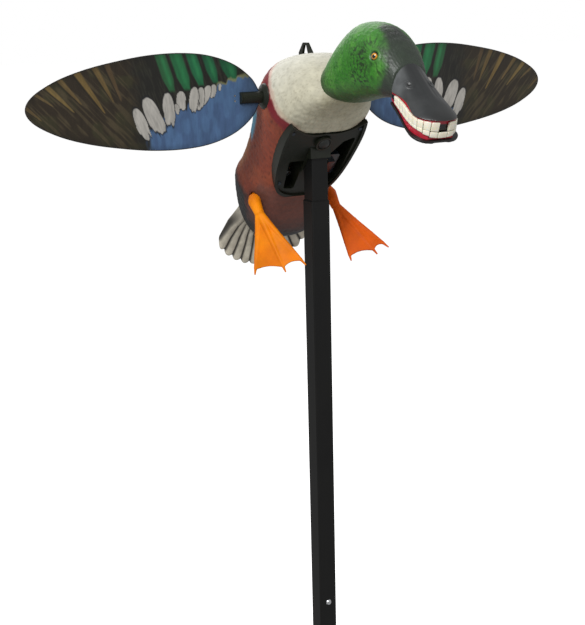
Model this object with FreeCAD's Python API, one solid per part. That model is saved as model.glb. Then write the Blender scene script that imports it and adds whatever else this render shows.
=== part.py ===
import FreeCAD, Part
import math
import os
from FreeCAD import Vector

# Spinning-wing duck decoy on a square pole.  Millimetres, +Z up, the duck faces -Y.
# The origin is on the pole's axis at the ground line.
# "Level" points are measured from the pole's axis at the height of the wing axis.
# "Body" points are (across, towards the tail, towards the back), from the wing axis.

# ---- driving dimensions -------------------------------------------------------------------
WING_Z = 870.0           # wing axis above the ground
WING_Y = 6.0             # wing axis behind the pole's axis
BODY_PITCH = 49.3        # breast-up tilt of the body, degrees
SKIN = 2.6               # wall of the moulded body and head
GAP = 0.3                # clearance between pieces that move

TUBE = 25.4              # upper tube, square
TUBE_WALL = 1.5
TUBE_CORNER = 2.5        # outside corner radius
TUBE_FIT = 0.1           # clearance of the lower tube in the upper one
UPPER_FOOT = 125.0
UPPER_HEAD = 736.0
LOWER_HEAD = 235.0
POST = 22.2              # square tube that the decoy drops on
POST_HEAD = 834.0
SPIKE_R = 8.0
SPIKE_SHANK = 70.0
SPIKE_POINT = 40.0
BUTTON_Z = 180.0         # snap button that locks the two tubes
BUTTON_R = 4.0

PLATE_FACE = -56.0       # belly plate: outer face, towards the belly
PLATE_THICK = 3.0
PLATE_LIP = 2.5
PLATE_HALF = 55.0        # half width of the plate where it is widest
PLATE_MIDDLE = 60.0      # middle of the plate's length

WING_ROOT = 72.0         # from the middle of the duck to the blade's inner end
WING_TIP = 354.0
BLADE_THICK = 0.8
BLADE_CAMBER_R = 1200.0
WING_POST_R = 7.0
WING_POST_END = 96.0
SHAFT_R = 2.5
MOTOR_R = 14.0
MOTOR_HALF = 22.0
BUSHING_R = 16.0

ORIGIN = Vector(0, 0, 0)
ALONG_X = Vector(1, 0, 0)
ALONG_Y = Vector(0, 1, 0)
ALONG_Z = Vector(0, 0, 1)


# ---- helpers ------------------------------------------------------------------------------
def body_point(x, tail, back):
    """Row position of a point given in body directions."""
    turn = math.radians(BODY_PITCH)
    y = tail * math.cos(turn) + back * math.sin(turn)
    z = -tail * math.sin(turn) + back * math.cos(turn)
    return Vector(x, WING_Y + y, WING_Z + z)


def body_direction(x, tail, back):
    """Row direction of a unit vector given in body directions."""
    direction = body_point(x, tail, back) - body_point(0, 0, 0)
    return direction.normalize()


def from_body(shape):
    """Turn a shape drawn in body directions into its place in the row."""
    placed = shape.copy()
    placed.rotate(ORIGIN, ALONG_X, -BODY_PITCH)
    placed.translate(Vector(0, WING_Y, WING_Z))
    return placed


def level(x, y, z):
    """Row position of a point given from the pole's axis at wing height."""
    return Vector(x, y, WING_Z + z)


def block(x_span, y_span, z_span):
    """Box from three (low, high) spans."""
    size = [high - low for low, high in (x_span, y_span, z_span)]
    return Part.makeBox(*size, Vector(x_span[0], y_span[0], z_span[0]))


def square_bar(side, z_low, z_high, corner=0.0):
    """Square bar on the pole's axis, with rounded upright corners."""
    half = side / 2.0
    bar = block((-half, half), (-half, half), (z_low, z_high))
    if corner:
        bar = bar.makeFillet(corner, upright_edges(bar))
    return bar


def upright_edges(shape):
    """Straight edges of a shape that run along Z."""
    return [edge for edge in shape.Edges if abs(edge.tangentAt(edge.FirstParameter).z) > 0.9]


def square_tube(side, wall, corner, z_low, z_high):
    """Square tube on the pole's axis, with rounded corners outside and inside."""
    outside = square_bar(side, z_low, z_high, corner)
    return outside.cut(square_bar(side - 2 * wall, z_low - 1, z_high + 1, max(corner - wall, 0.0)))


def rod(start, end, radius):
    """Round bar between two points."""
    run = end - start
    return Part.makeCylinder(radius, run.Length, start, run)


def taper(start, end, start_radius, end_radius):
    """Round bar that narrows from one point to another."""
    run = end - start
    return Part.makeCone(start_radius, end_radius, run.Length, start, run)


def joined(shapes):
    """Union of several shapes as one solid."""
    return shapes[0].fuse(shapes[1:]).removeSplitter()


def without(shape, tools):
    """Shape less every tool."""
    for tool in tools:
        shape = shape.cut(tool)
    return shape


def turned_profile(points, axis_start, axis_direction):
    """Solid of revolution from (distance along the axis, radius) points."""
    face = Part.Face(Part.makePolygon([Vector(r, 0, a) for a, r in points + points[:1]]))
    solid = face.revolve(ORIGIN, ALONG_Z, 360)
    solid.Placement = FreeCAD.Placement(axis_start, FreeCAD.Rotation(ALONG_Z, axis_direction))
    return solid


def section(low, high, half_width, low_power=2.3, high_power=2.3, count=20):
    """Closed oval between two points of the middle plane, bulging half_width each side."""
    centre = (low + high) * 0.5
    up = (high - low) * 0.5
    points = []
    for step in range(count):
        angle = 2 * math.pi * step / count
        across, rise = math.cos(angle), math.sin(angle)
        power = high_power if rise > 0 else low_power
        x = half_width * math.copysign(abs(across) ** (2 / power), across)
        points.append(centre + ALONG_X * x + up * math.copysign(abs(rise) ** (2 / power), rise))
    curve = Part.BSplineCurve()
    curve.interpolate(points, PeriodicFlag=True)
    return Part.Wire(curve.toShape())


def skin_of(stations, inset=0.0, low_power=2.3, high_power=2.3):
    """Smooth solid through (low point, high point, half width) stations, shrunk by inset."""
    wires = []
    last = len(stations) - 1
    for index, (low, high, half_width) in enumerate(stations):
        low, high = Vector(*low), Vector(*high)
        pull = (high - low).normalize() * inset
        along = Vector(0, 0, 0)
        if inset and index in (0, last):
            beside = stations[1] if index == 0 else stations[last - 1]
            along = (Vector(*beside[0]) + Vector(*beside[1]) - low - high).normalize() * inset
        wires.append(section(low + pull + along, high - pull + along, half_width - inset,
                             low_power, high_power))
    return Part.makeLoft(wires, True, False)


def save(name, shape):
    """Write one named piece."""
    solids = shape.Solids
    whole = solids[0] if len(solids) == 1 else Part.makeCompound(solids)
    whole.exportStep(os.path.join("parts", name + ".step"))
    print(f"{name:20s} solids {len(solids):2d}  {whole.Volume / 1000:9.2f} cm3  valid {whole.isValid()}")


# ---- stand --------------------------------------------------------------------------------
def make_stand():
    """Spike, two tubes, collar, post and the pin that holds it."""
    lower_side = TUBE - 2 * TUBE_WALL - 2 * TUBE_FIT
    lower_inner = lower_side - 2 * TUBE_WALL
    button_hole = rod(Vector(0, -TUBE, BUTTON_Z), Vector(0, 0, BUTTON_Z), BUTTON_R + TUBE_FIT)

    plug_depth = 30.0
    spike = joined([
        rod(Vector(0, 0, -SPIKE_SHANK), Vector(0, 0, 1), SPIKE_R),
        taper(Vector(0, 0, -SPIKE_SHANK), Vector(0, 0, -SPIKE_SHANK - SPIKE_POINT), SPIKE_R, 1.0),
        square_bar(lower_inner, 0, plug_depth),
    ])
    save("ground_spike", spike)
    inner_corner = TUBE_CORNER - TUBE_WALL
    lower_tube = square_tube(lower_side, TUBE_WALL, inner_corner, 0, LOWER_HEAD)
    save("lower_tube", lower_tube.cut(button_hole))
    upper_tube = square_tube(TUBE, TUBE_WALL, TUBE_CORNER, UPPER_FOOT, UPPER_HEAD)
    pin_z = UPPER_HEAD - 21.0
    pin = rod(Vector(-TUBE / 2, 0, pin_z), Vector(TUBE / 2, 0, pin_z), 2.0)
    save("upper_tube", without(upper_tube, [button_hole, pin]))

    collar_top = UPPER_HEAD + 4.0
    collar = square_bar(TUBE, UPPER_HEAD, collar_top, TUBE_CORNER)
    rim = [edge for edge in collar.Edges if edge.CenterOfMass.z > collar_top - 0.1]
    post_hole = square_bar(POST, UPPER_HEAD - 1, collar_top + 1, inner_corner)
    collar = collar.makeChamfer(1.2, rim).cut(post_hole)
    post_foot = UPPER_HEAD - 60.0
    post = square_tube(POST, TUBE_WALL, inner_corner, post_foot, POST_HEAD - TUBE_WALL)
    post_cap = square_bar(POST, POST_HEAD - TUBE_WALL, POST_HEAD, inner_corner)
    save("tube_collar", collar)
    save("top_post", joined([post, post_cap]).cut(pin))
    save("post_pin", pin)


def make_snap_button():
    """Domed button through both tubes and the bent leaf spring behind it."""
    face = -TUBE / 2
    flange_y = -TUBE / 2 + 2 * TUBE_WALL + TUBE_FIT + GAP
    profile = [(0, 0), (0, BUTTON_R + 1.5), (1, BUTTON_R + 1.5), (1, BUTTON_R),
               (flange_y + 1 - face + 0.9, BUTTON_R), (flange_y + 1 - face + 2.0, BUTTON_R - 0.9),
               (flange_y + 1 - face + 2.5, BUTTON_R - 2.4), (flange_y + 1 - face + 2.6, 0)]
    save("snap_button", turned_profile(profile, Vector(0, flange_y + 1, BUTTON_Z), -ALONG_Y))

    width, strip, leg = 8.0, 0.6, 34.0
    front = flange_y + 1.0
    back = TUBE / 2 - 2 * TUBE_WALL - TUBE_FIT - 0.1
    mid_y = (front + back) / 2
    bend_r = (back - front) / 2
    bend_z = BUTTON_Z - leg
    ring = Part.makeCylinder(bend_r, width, Vector(-width / 2, mid_y, bend_z), ALONG_X)
    ring = ring.cut(Part.makeCylinder(bend_r - strip, width, Vector(-width / 2, mid_y, bend_z), ALONG_X))
    ring = ring.common(block((-width, width), (front, back), (bend_z - bend_r, bend_z)))
    half = (-width / 2, width / 2)
    spring = joined([ring,
                     block(half, (front, front + strip), (bend_z, BUTTON_Z + 6)),
                     block(half, (back - strip, back), (bend_z, BUTTON_Z + 2))])
    save("snap_spring", spring)


# ---- body ---------------------------------------------------------------------------------
BODY_STATIONS = [
    ((0, -57, -72), (0, -73, -27), 30.5),
    ((0, -44, -69), (0, -62, 0), 44),
    ((0, -28, -64), (0, -46, 21.5), 55),
    ((0, -8, -60), (0, -25, 38), 65),
    ((0, 16, -57), (0, 6, 45), 66.5),
    ((0, 50, -56), (0, 46, 46), 61.5),
    ((0, 90, -57), (0, 90, 42), 57),
    ((0, 128, -60), (0, 128, 41), 57.5),
    ((0, 148, -63), (0, 150, 43.5), 60.5),
    ((0, 166, -66), (0, 169, 42), 56.5),
    ((0, 182, -67), (0, 187, 38), 51),
    ((0, 198, -62), (0, 203, 32), 45),
    ((0, 213, -51), (0, 219, 24), 37),
    ((0, 225, -37), (0, 230, 14), 27),
]
TAIL_STATIONS = [
    ((0, 214, -8), (0, 221, 20), 28),
    ((0, 232, -11), (0, 239, 8), 49),
    ((0, 246, -18), (0, 251, -7), 63),
    ((0, 256, -25), (0, 260, -17), 65),
    ((0, 266, -31), (0, 269, -25), 57),
    ((0, 275, -37), (0, 277, -32), 41),
    ((0, 281, -40), (0, 283, -37), 22),
]
LEG_ROOT = (54.0, 140.0, -42.0)      # body directions, duck's left leg
LEG_AXIS = (0.45, 0.1, -0.888)        # out of the flank, body directions
LEG_PLUG_R = 5.0
LEG_ROOT_R = 8.0
ANKLE_R = 5.6


def make_body(plate_cut, opening_cut):
    """Hollow body with its belly opening, hub holes and leg sockets, and the tail fan."""
    outer = from_body(skin_of(BODY_STATIONS, low_power=3.0, high_power=2.6))
    inner = from_body(skin_of(BODY_STATIONS, SKIN, low_power=3.0, high_power=2.6))
    axis = Vector(0, WING_Y, WING_Z)
    hub_hole = rod(axis - ALONG_X * 100, axis + ALONG_X * 100, BUSHING_R)
    cuts = [inner, plate_cut, opening_cut, hub_hole]
    for side in (-1, 1):
        cuts += leg_socket(side)
    save("tail_fan", from_body(skin_of(TAIL_STATIONS, low_power=2.0, high_power=2.0)).cut(outer))
    return outer, without(outer, cuts)


def leg_frame(side):
    """Root point and outward axis of one leg's plug."""
    x, tail, back = LEG_ROOT
    across, along, out = LEG_AXIS
    return body_point(side * x, tail, back), body_direction(side * across, along, out)


def leg_socket(side):
    """Clearance for a leg's plug and its root collar."""
    root, axis = leg_frame(side)
    return [rod(root - axis * 20, root + axis * 30, LEG_PLUG_R + GAP),
            rod(root - axis * 3.3, root + axis * 30, LEG_ROOT_R + 1.2)]


def make_leg(name, side, ankle, toe_tips):
    """Soft leg: plug, shank and a webbed foot with three toes."""
    root, axis = leg_frame(side)
    pieces = [
        rod(root - axis * 14, root - axis * 2, LEG_PLUG_R),
        rod(root - axis * 3, root + axis * 4, LEG_ROOT_R),
        taper(root + axis * 4, ankle, LEG_ROOT_R, ANKLE_R),
        Part.makeSphere(LEG_ROOT_R, root + axis * 4),
        Part.makeSphere(ANKLE_R, ankle),
    ]
    for tip in toe_tips:
        pieces.append(taper(ankle, tip, 4.2, 1.4))
        pieces.append(Part.makeSphere(1.4, tip))
    for first, second in zip(toe_tips, toe_tips[1:]):
        pieces.append(web_between(ankle, first, second))
    save(name, joined(pieces))


def web_between(ankle, first, second):
    """Thin skin between two toes, with a scooped outer edge."""
    reach = 0.91
    thickness = 1.6
    near = ankle + (first - ankle) * reach
    far = ankle + (second - ankle) * reach
    dip = ankle + ((near + far) * 0.5 - ankle) * 0.96
    edge = Part.Arc(near, dip, far).toShape()
    outline = Part.Wire([Part.makeLine(ankle, near), edge, Part.makeLine(far, ankle)])
    normal = (near - ankle).cross(far - ankle).normalize()
    face = Part.Face(outline)
    face.translate(normal * (-thickness / 2))
    return face.extrude(normal * thickness)


def make_hanging_tab(outer):
    """Upright eye on the back, to hang the decoy from."""
    half_base, top_half, height, thickness = 16.5, 5.5, 14.0, 3.0
    hole_half, hole_top = 7.2, 11.0
    middle = level(0, 18.6, 47)
    outline = [(-half_base, -6), (half_base, -6), (half_base, 2), (top_half, height), (-top_half, height),
               (-half_base, 2)]
    hole = [(-hole_half, 1), (hole_half, 1), (3.0, hole_top), (-3.0, hole_top)]
    plates = []
    for points, width in ((outline, thickness), (hole, thickness + 2)):
        corners = [middle + Vector(-width / 2, y, z) for y, z in points + points[:1]]
        plates.append(Part.Face(Part.makePolygon(corners)).extrude(ALONG_X * width))
    plate = plates[0]
    edges = [edge for edge in plate.Edges
             if edge.CenterOfMass.z > middle.z + height - 1 and abs(edge.CenterOfMass.x) < 0.1]
    save("hanging_tab", plate.makeFillet(3.0, edges).cut(plates[1]).cut(outer))


# ---- belly housing ------------------------------------------------------------------------
BOSS_TAIL = 26.0                      # power switch, on the plate's middle line
BOSS_R = 8.3
BOSS_RING_R = BOSS_R + 2.5
BUTTON_STEM = 4.5                     # behind the button's rim
BUTTON_STEM_R = 3.0
BATTERY = ((16.0, 39.0), (58.0, 93.0), (-50.0, -10.0))
CONTROL = ((-28.0, -15.0), (61.0, 104.0), (-34.0, -22.0))
JACK_AT = (-21.0, 94.0)


def plate_outline(inset, back):
    """Closed outline of the plate at a height towards the back, shrunk by inset."""
    top = [(0, 10), (26, 9), (42, 2), (51.5, -5)]
    side = [(51.5, -5), (54.5, 20), (53.5, 46), (50.5, 73), (45.5, 95), (37, 112), (21, 122), (0, 125)]
    across = 1 - inset / PLATE_HALF
    along = 1 - inset / (125 - PLATE_MIDDLE)
    edges = []
    for sign in (1, -1):
        for points in (top, side):
            curve = Part.BSplineCurve()
            curve.interpolate([Vector(sign * x * across, PLATE_MIDDLE + (y - PLATE_MIDDLE) * along, back)
                               for x, y in points])
            edges.append(curve.toShape())
    return Part.Wire(Part.__sortEdges__(edges))


def plate_prism(inset, low, high):
    """Plate outline stretched between two heights."""
    return Part.Face(plate_outline(inset, low)).extrude(ALONG_Z * (high - low))


def pocket_prism(points, grow, low, high):
    """Rounded pocket drawn on the plate, widened by grow."""
    corners = [Vector(x, y, low) for x, y in points + points[:1]]
    prism = Part.Face(Part.makePolygon(corners)).extrude(ALONG_Z * (high - low))
    prism = prism.makeFillet(3.0, upright_edges(prism))
    if grow:
        prism = prism.makeOffsetShape(grow, 0.01, join=2)
        prism = prism.common(block((-90, 90), (-90, 200), (low, high)))
    return prism


def make_housing(body_outer):
    """Belly plate with its lip, two pockets and the square socket for the post."""
    back_face = PLATE_FACE + PLATE_THICK
    right_pocket = [(46, 22), (31, 29), (14.5, 56), (14.5, 106), (31, 107), (39.5, 97), (44.5, 76)]
    left_pocket = [(-36, 58), (-14.5, 58), (-14.5, 109), (-29, 107)]
    plate = plate_prism(0, PLATE_FACE, back_face)
    lip = plate_prism(0, PLATE_FACE - PLATE_LIP, PLATE_FACE).cut(
        plate_prism(4, PLATE_FACE - PLATE_LIP - 1, PLATE_FACE + 1))
    skirt = plate_prism(0.6, back_face, -34).cut(plate_prism(3.6, back_face - 1, -33))
    right_depth, left_depth, wall = -8.0, -22.0, 2.0
    walls = [pocket_prism(right_pocket, wall, PLATE_FACE, right_depth + wall),
             pocket_prism(left_pocket, wall, PLATE_FACE, left_depth + wall)]
    tray = from_body(joined([plate, lip] + walls))
    tray = tray.fuse(from_body(skirt).cut(body_outer))

    socket_wall = 2.6
    socket_top = POST_HEAD + GAP
    socket_side = POST + 2 * GAP + 2 * socket_wall
    socket_foot, mouth_z = WING_Z - 110.0, WING_Z - 77.0
    socket = square_bar(socket_side, socket_foot, socket_top + socket_wall)
    below_plate = from_body(block((-60, 60), (-80, 220), (PLATE_FACE - 60, PLATE_FACE - 1.5)))
    tray = tray.fuse([socket.cut(below_plate), square_bar(socket_side, mouth_z, socket_top)])

    cuts = [from_body(pocket_prism(right_pocket, 0, PLATE_FACE - 9, right_depth)),
            from_body(pocket_prism(left_pocket, 0, PLATE_FACE - 9, left_depth)),
            square_bar(POST + 2 * GAP, socket_foot - 10, socket_top),
            switch_space(PLATE_FACE - 10, PLATE_FACE, BOSS_RING_R),
            switch_space(PLATE_FACE, back_face + 0.1, BOSS_R),
            switch_space(back_face, back_face + 2.7, BUTTON_STEM_R + GAP)]
    screws = housing_screws()
    cuts.append(screws)
    cuts.append(motor_saddle_slot())
    housing = without(tray, cuts)
    save("housing", housing)
    save("housing_screws", screws)
    return housing


def switch_space(low, high, radius):
    """Round space on the power switch's axis, between two heights towards the back."""
    return rod(body_point(0, BOSS_TAIL, low), body_point(0, BOSS_TAIL, high), radius)


def housing_screws():
    """Four pan-head screws that hold the plate to the body."""
    spots = [(46.5, 8), (-46.5, 8), (-38, 96), (24, 116)]
    solids = []
    for x, tail in spots:
        shank_end = body_point(x, tail, PLATE_FACE + 9)
        head = taper(body_point(x, tail, PLATE_FACE), body_point(x, tail, PLATE_FACE - 1.4), 2.9, 2.2)
        shank = rod(body_point(x, tail, PLATE_FACE), shank_end, 1.4)
        solids.append(joined([head, shank]))
    return Part.makeCompound(solids)


def make_switch():
    """Raised ring and the domed power button that is pressed through it."""
    top = PLATE_FACE - 5.0
    axis = body_direction(0, 0, -1)
    ring = switch_space(top, PLATE_FACE, BOSS_RING_R).cut(switch_space(top - 1, PLATE_FACE + 1, BOSS_R))
    save("switch_bezel", ring)
    dome_r = BOSS_R - GAP
    profile = [(-BUTTON_STEM, 0), (-BUTTON_STEM, BUTTON_STEM_R), (0, BUTTON_STEM_R), (0, dome_r),
               (2.5, dome_r), (4.2, dome_r - 1.4), (5.4, dome_r - 4), (6, 2.2), (6.1, 0)]
    save("switch_button", turned_profile(profile, body_point(0, BOSS_TAIL, PLATE_FACE - 1.5), axis))


def make_electrics():
    """Battery pack, its contacts, the control box and the charging jack."""
    (x0, x1), (y0, y1), (z0, z1) = BATTERY
    pack = block(*BATTERY)
    pack = pack.makeFillet(3.0, upright_edges(pack))
    strap = block(((x0 + x1) / 2 - 5, (x0 + x1) / 2 + 5), (y0 + 8, y0 + 11), (z0 - 5, z0))
    save("battery", from_body(joined([pack, strap])))
    spots = [(x, (y0 + y1) / 2) for x in (x0 + 6, x1 - 6)]
    contacts = [rod(body_point(x, y, z1 + 0.1), body_point(x, y, -8), 2.5) for x, y in spots]
    save("battery_contacts", Part.makeCompound(contacts))

    box = block(*CONTROL)
    x, y = JACK_AT
    face = CONTROL[2][0]
    barrel = rod(body_point(x, y, face), body_point(x, y, face - 9), 4.0)
    nut = rod(body_point(x, y, face), body_point(x, y, face - 2.5), 5.6)
    bore = rod(body_point(x, y, face - 10), body_point(x, y, face - 1), 2.75)
    save("control_box", from_body(box))
    save("charge_jack", joined([barrel, nut]).cut(bore))

    clip_x, clip_width, clip_thick = 14.6, 3.5, 0.8
    clip_low, clip_high = WING_Z - 94, WING_Z - 80.2
    clip_y = (-2.5, -2.5 + clip_width)
    clip = joined([block((clip_x, clip_x + clip_thick), clip_y, (clip_low, clip_high)),
                   block((clip_x, clip_x + 1.1), clip_y, (clip_high - clip_thick, clip_high))])
    save("post_clip", clip)


# ---- drive --------------------------------------------------------------------------------
def motor_saddle_slot():
    """Space that the motor and its shaft turn in, kept clear of the socket."""
    axis = Vector(0, WING_Y, WING_Z)
    return rod(axis - ALONG_X * 60, axis + ALONG_X * 60, MOTOR_R + 1)


def make_drive():
    """Motor, its saddle, the bushings, the shaft and the two wing posts."""
    axis = Vector(0, WING_Y, WING_Z)
    can = joined([rod(axis - ALONG_X * MOTOR_HALF, axis + ALONG_X * MOTOR_HALF, MOTOR_R),
                  rod(axis - ALONG_X * (MOTOR_HALF + 4), axis + ALONG_X * (MOTOR_HALF + 4), 5.0)])
    can = can.cut(rod(axis - ALONG_X * 60, axis + ALONG_X * 60, SHAFT_R + 0.05))
    save("motor_can", can)
    saddle = block((-12, 12), (WING_Y - 15, WING_Y + 11), (POST_HEAD + GAP + 2.6, WING_Z - 4))
    save("motor_mount", saddle.cut(rod(axis - ALONG_X * 60, axis + ALONG_X * 60, MOTOR_R)))
    save("motor_shaft", rod(axis - ALONG_X * 64, axis + ALONG_X * 64, SHAFT_R))
    magnets = []
    for side, name in ((-1, "right"), (1, "left")):
        out = ALONG_X * side
        save(f"{name}_bushing", bushing(axis, out))
        post, discs = wing_post(axis, out)
        save(f"{name}_wing_post", post)
        magnets += discs
    save("wing_magnets", Part.makeCompound(magnets))


def bushing(axis, out):
    """Flanged bush that the wing post turns in."""
    bore = WING_POST_R + 0.05
    profile = [(50, bore), (50, BUSHING_R), (64, BUSHING_R), (67, BUSHING_R - 1.2),
               (70, bore + 3), (70, bore)]
    return turned_profile(profile, axis, out)


def wing_post(axis, out):
    """Slotted post with two magnets in its end face."""
    inner, slot_start = 40.0, WING_ROOT - 0.6
    post = rod(axis + out * inner, axis + out * WING_POST_END, WING_POST_R)
    shaft_hole = rod(axis + out * (inner - 1), axis + out * 64, SHAFT_R)
    slot_half = BLADE_THICK / 2 + 0.2
    low, high = sorted((out.x * slot_start, out.x * (WING_POST_END + 5)))
    slot = block((low, high), (WING_Y - slot_half, WING_Y + slot_half), (WING_Z - 20, WING_Z + 20))
    discs = []
    for shift in (-3.9, 3.9):
        start = axis + ALONG_Y * shift + out * (WING_POST_END - 3)
        discs.append(rod(start, start + out * 3, 2.0))
    return without(post, [shaft_hole, slot] + discs), discs


# ---- wings --------------------------------------------------------------------------------
BLADE_EDGE = [
    (WING_ROOT, 8), (82, 23.5), (104, 40), (135, 51), (170, 55), (210, 53.8), (250, 48.2),
    (285, 41), (315, 31.5), (338, 20), (350, 10), (WING_TIP, 0),
]


def make_wing(name, side):
    """Thin cambered blade, and the riveted clip near its root."""
    upper = [Vector(side * x, 0, WING_Z + half) for x, half in BLADE_EDGE]
    lower = [Vector(side * x, 0, WING_Z - half) for x, half in reversed(BLADE_EDGE[:-1])]
    curve = Part.BSplineCurve()
    curve.interpolate(upper + lower)
    root = Part.makeLine(lower[-1], upper[0])
    outline = Part.Face(Part.Wire([curve.toShape(), root])).extrude(ALONG_Y * 40)
    outline.translate(Vector(0, WING_Y - 20, 0))
    centre = Vector(-400, WING_Y + BLADE_CAMBER_R, WING_Z)
    sheet = Part.makeCylinder(BLADE_CAMBER_R + BLADE_THICK / 2, 800, centre, ALONG_X)
    sheet = sheet.cut(Part.makeCylinder(BLADE_CAMBER_R - BLADE_THICK / 2, 800, centre, ALONG_X))
    blade = sheet.common(outline)

    rivet_x = side * (WING_POST_END + 8)
    rivets = []
    for z in (-3, 3):
        front = Vector(rivet_x, WING_Y - BLADE_THICK / 2, WING_Z + z)
        shank = rod(front, front + ALONG_Y * 2.8, 1.2)
        head = rod(front + ALONG_Y * 2.8, front + ALONG_Y * 3.4, 2.0)
        rivets.append(joined([shank, head]))
    rivet_set = Part.makeCompound(rivets)

    start, end = WING_POST_END + GAP, WING_POST_END + 14
    middle = Vector(0, WING_Y, WING_Z)
    disc = rod(middle + ALONG_X * side * start, middle + ALONG_X * side * (start + 1.5), WING_POST_R)
    foot = block(sorted((side * start, side * end)), (WING_Y, WING_Y + 2.4), (WING_Z - 6.5, WING_Z + 6.5))
    foot = foot.cut(sheet_front(centre))
    clip = joined([disc, foot]).cut(blade).cut(rivet_set)
    save(f"{name}_wing_blade", blade.cut(rivet_set))
    save(f"{name}_wing_clip", clip)
    save(f"{name}_wing_rivets", rivet_set)


def sheet_front(centre):
    """Everything in front of the blade's rear face, which the clip must not reach."""
    thick = 60.0
    outside = Part.makeCylinder(BLADE_CAMBER_R + thick, 800, centre, ALONG_X)
    return outside.cut(Part.makeCylinder(BLADE_CAMBER_R - BLADE_THICK / 2, 800, centre, ALONG_X))


# ---- head ---------------------------------------------------------------------------------
HEAD_STATIONS = [
    ((0, -86, -4), (0, -66, 36), 32),
    ((0, -101, -5), (0, -88, 55.5), 34.5),
    ((0, -119, -3), (0, -111.5, 73), 36.5),
    ((0, -140, 1), (0, -136, 84), 37),
    ((0, -160, 4), (0, -165, 80), 35),
    ((0, -180, 5), (0, -188, 67), 30.5),
    ((0, -196, 5), (0, -202, 54), 25.5),
    ((0, -205, 4), (0, -212, 42), 21.5),
]
BILL_STATIONS = [
    ((0, -203, -28), (0, -212, 42), 22.5),
    ((0, -217, -30), (0, -226, 28.5), 24),
    ((0, -232, -38), (0, -244, 13), 26.5),
    ((0, -245, -45), (0, -257, 3), 28.5),
    ((0, -255, -48), (0, -267, -4), 27),
    ((0, -262, -45), (0, -275, -10), 20),
    ((0, -265, -38), (0, -278, -15), 10),
]
UPPER_LIP = [(-188, 19), (-204, 14), (-224, 9), (-237, 3.5), (-246, -3), (-253, -7.5),
             (-261, -10.5), (-271, -13), (-292, -15)]         # y and z of the upper lip's edge
LOWER_LIP = [(-188, 17.5), (-204, 5.5), (-214, -1), (-226, -9.5), (-238, -18), (-250, -25),
             (-261, -30.5), (-271, -36.5), (-292, -47)]
LIP_THICK = 3.2
MOUTH_WIDE = 60.0
EYE_R = 4.6
EYE_AT = (26.2, -184.0, 49.0)
TEETH_EACH_SIDE = 10                   # beside the middle one, in each row
TOOTH_GAP = 0.4


def lip_edge(lip, drop=0.0):
    """Smooth edge along a lip, seen from the side, lowered by drop."""
    curve = Part.BSplineCurve()
    curve.interpolate([level(-MOUTH_WIDE, y, z - drop) for y, z in lip])
    return curve.toShape()


def slab_between(upper, lower):
    """Wide slab between two edges drawn from the side."""
    ends = [Part.makeLine(upper.Vertexes[i].Point, lower.Vertexes[i].Point) for i in (0, -1)]
    outline = Part.Wire(Part.__sortEdges__([upper, lower] + ends))
    return Part.Face(outline).extrude(ALONG_X * 2 * MOUTH_WIDE)


def mouth_path(distance, half_width=25.6, straight=-243.0, front=-268.0):
    """Point and outward direction on the U of the mouth, a signed distance from its front."""
    depth = straight - front
    bow = math.pi / 2 * (half_width + depth) / 2
    sign = math.copysign(1, distance)
    if abs(distance) < bow:
        angle = abs(distance) / bow * math.pi / 2
        point = Vector(sign * half_width * math.sin(angle), straight - depth * math.cos(angle), 0)
        return point, Vector(sign * math.sin(angle), -math.cos(angle), 0)
    return Vector(sign * half_width, straight + abs(distance) - bow, 0), Vector(sign, 0, 0)


def lip_height(y, lip):
    """Height of a lip's edge at a distance forwards."""
    for (near_y, near_z), (far_y, far_z) in zip(lip, lip[1:]):
        if far_y <= y:
            break
    return near_z + (far_z - near_z) * (y - near_y) / (far_y - near_y)


def tooth_width(place):
    """Width of a tooth by its place from the middle one: wide in front, narrow at the back."""
    return 5.2 + 5.8 * math.exp(-place / 2.2)


def tooth_places():
    """Signed distance and width of each tooth of a row, from the duck's right to its left."""
    distance = 0.0
    places = [(0.0, tooth_width(0))]
    for place in range(1, TEETH_EACH_SIDE + 1):
        distance += (tooth_width(place - 1) + tooth_width(place)) / 2 + TOOTH_GAP
        places.append((distance, tooth_width(place)))
        places.insert(0, (-distance, tooth_width(place)))
    return places


def tooth_row(lip, downwards, root_share, share):
    """Row of rounded blocks on one gum, as tall as a share of the mouth's opening."""
    teeth = []
    for distance, width in tooth_places():
        point, normal = mouth_path(distance)
        opening = lip_height(point.y, UPPER_LIP) - lip_height(point.y, LOWER_LIP)
        root_z = lip_height(point.y, lip) - downwards * opening * root_share
        low, high = sorted((root_z, root_z - downwards * opening * share))
        tooth = block((-width / 2, width / 2), (-1.2, 1.6), (low, high))
        edges = [edge for edge in tooth.Edges if edge.CenterOfMass.y < -1.1]
        tooth = tooth.makeFillet(min(0.9, (high - low) * 0.3), edges)
        tooth.rotate(ORIGIN, ALONG_Z, math.degrees(math.atan2(normal.x, -normal.y)))
        tooth.translate(level(point.x, point.y, 0))
        teeth.append(tooth)
    return teeth


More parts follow.
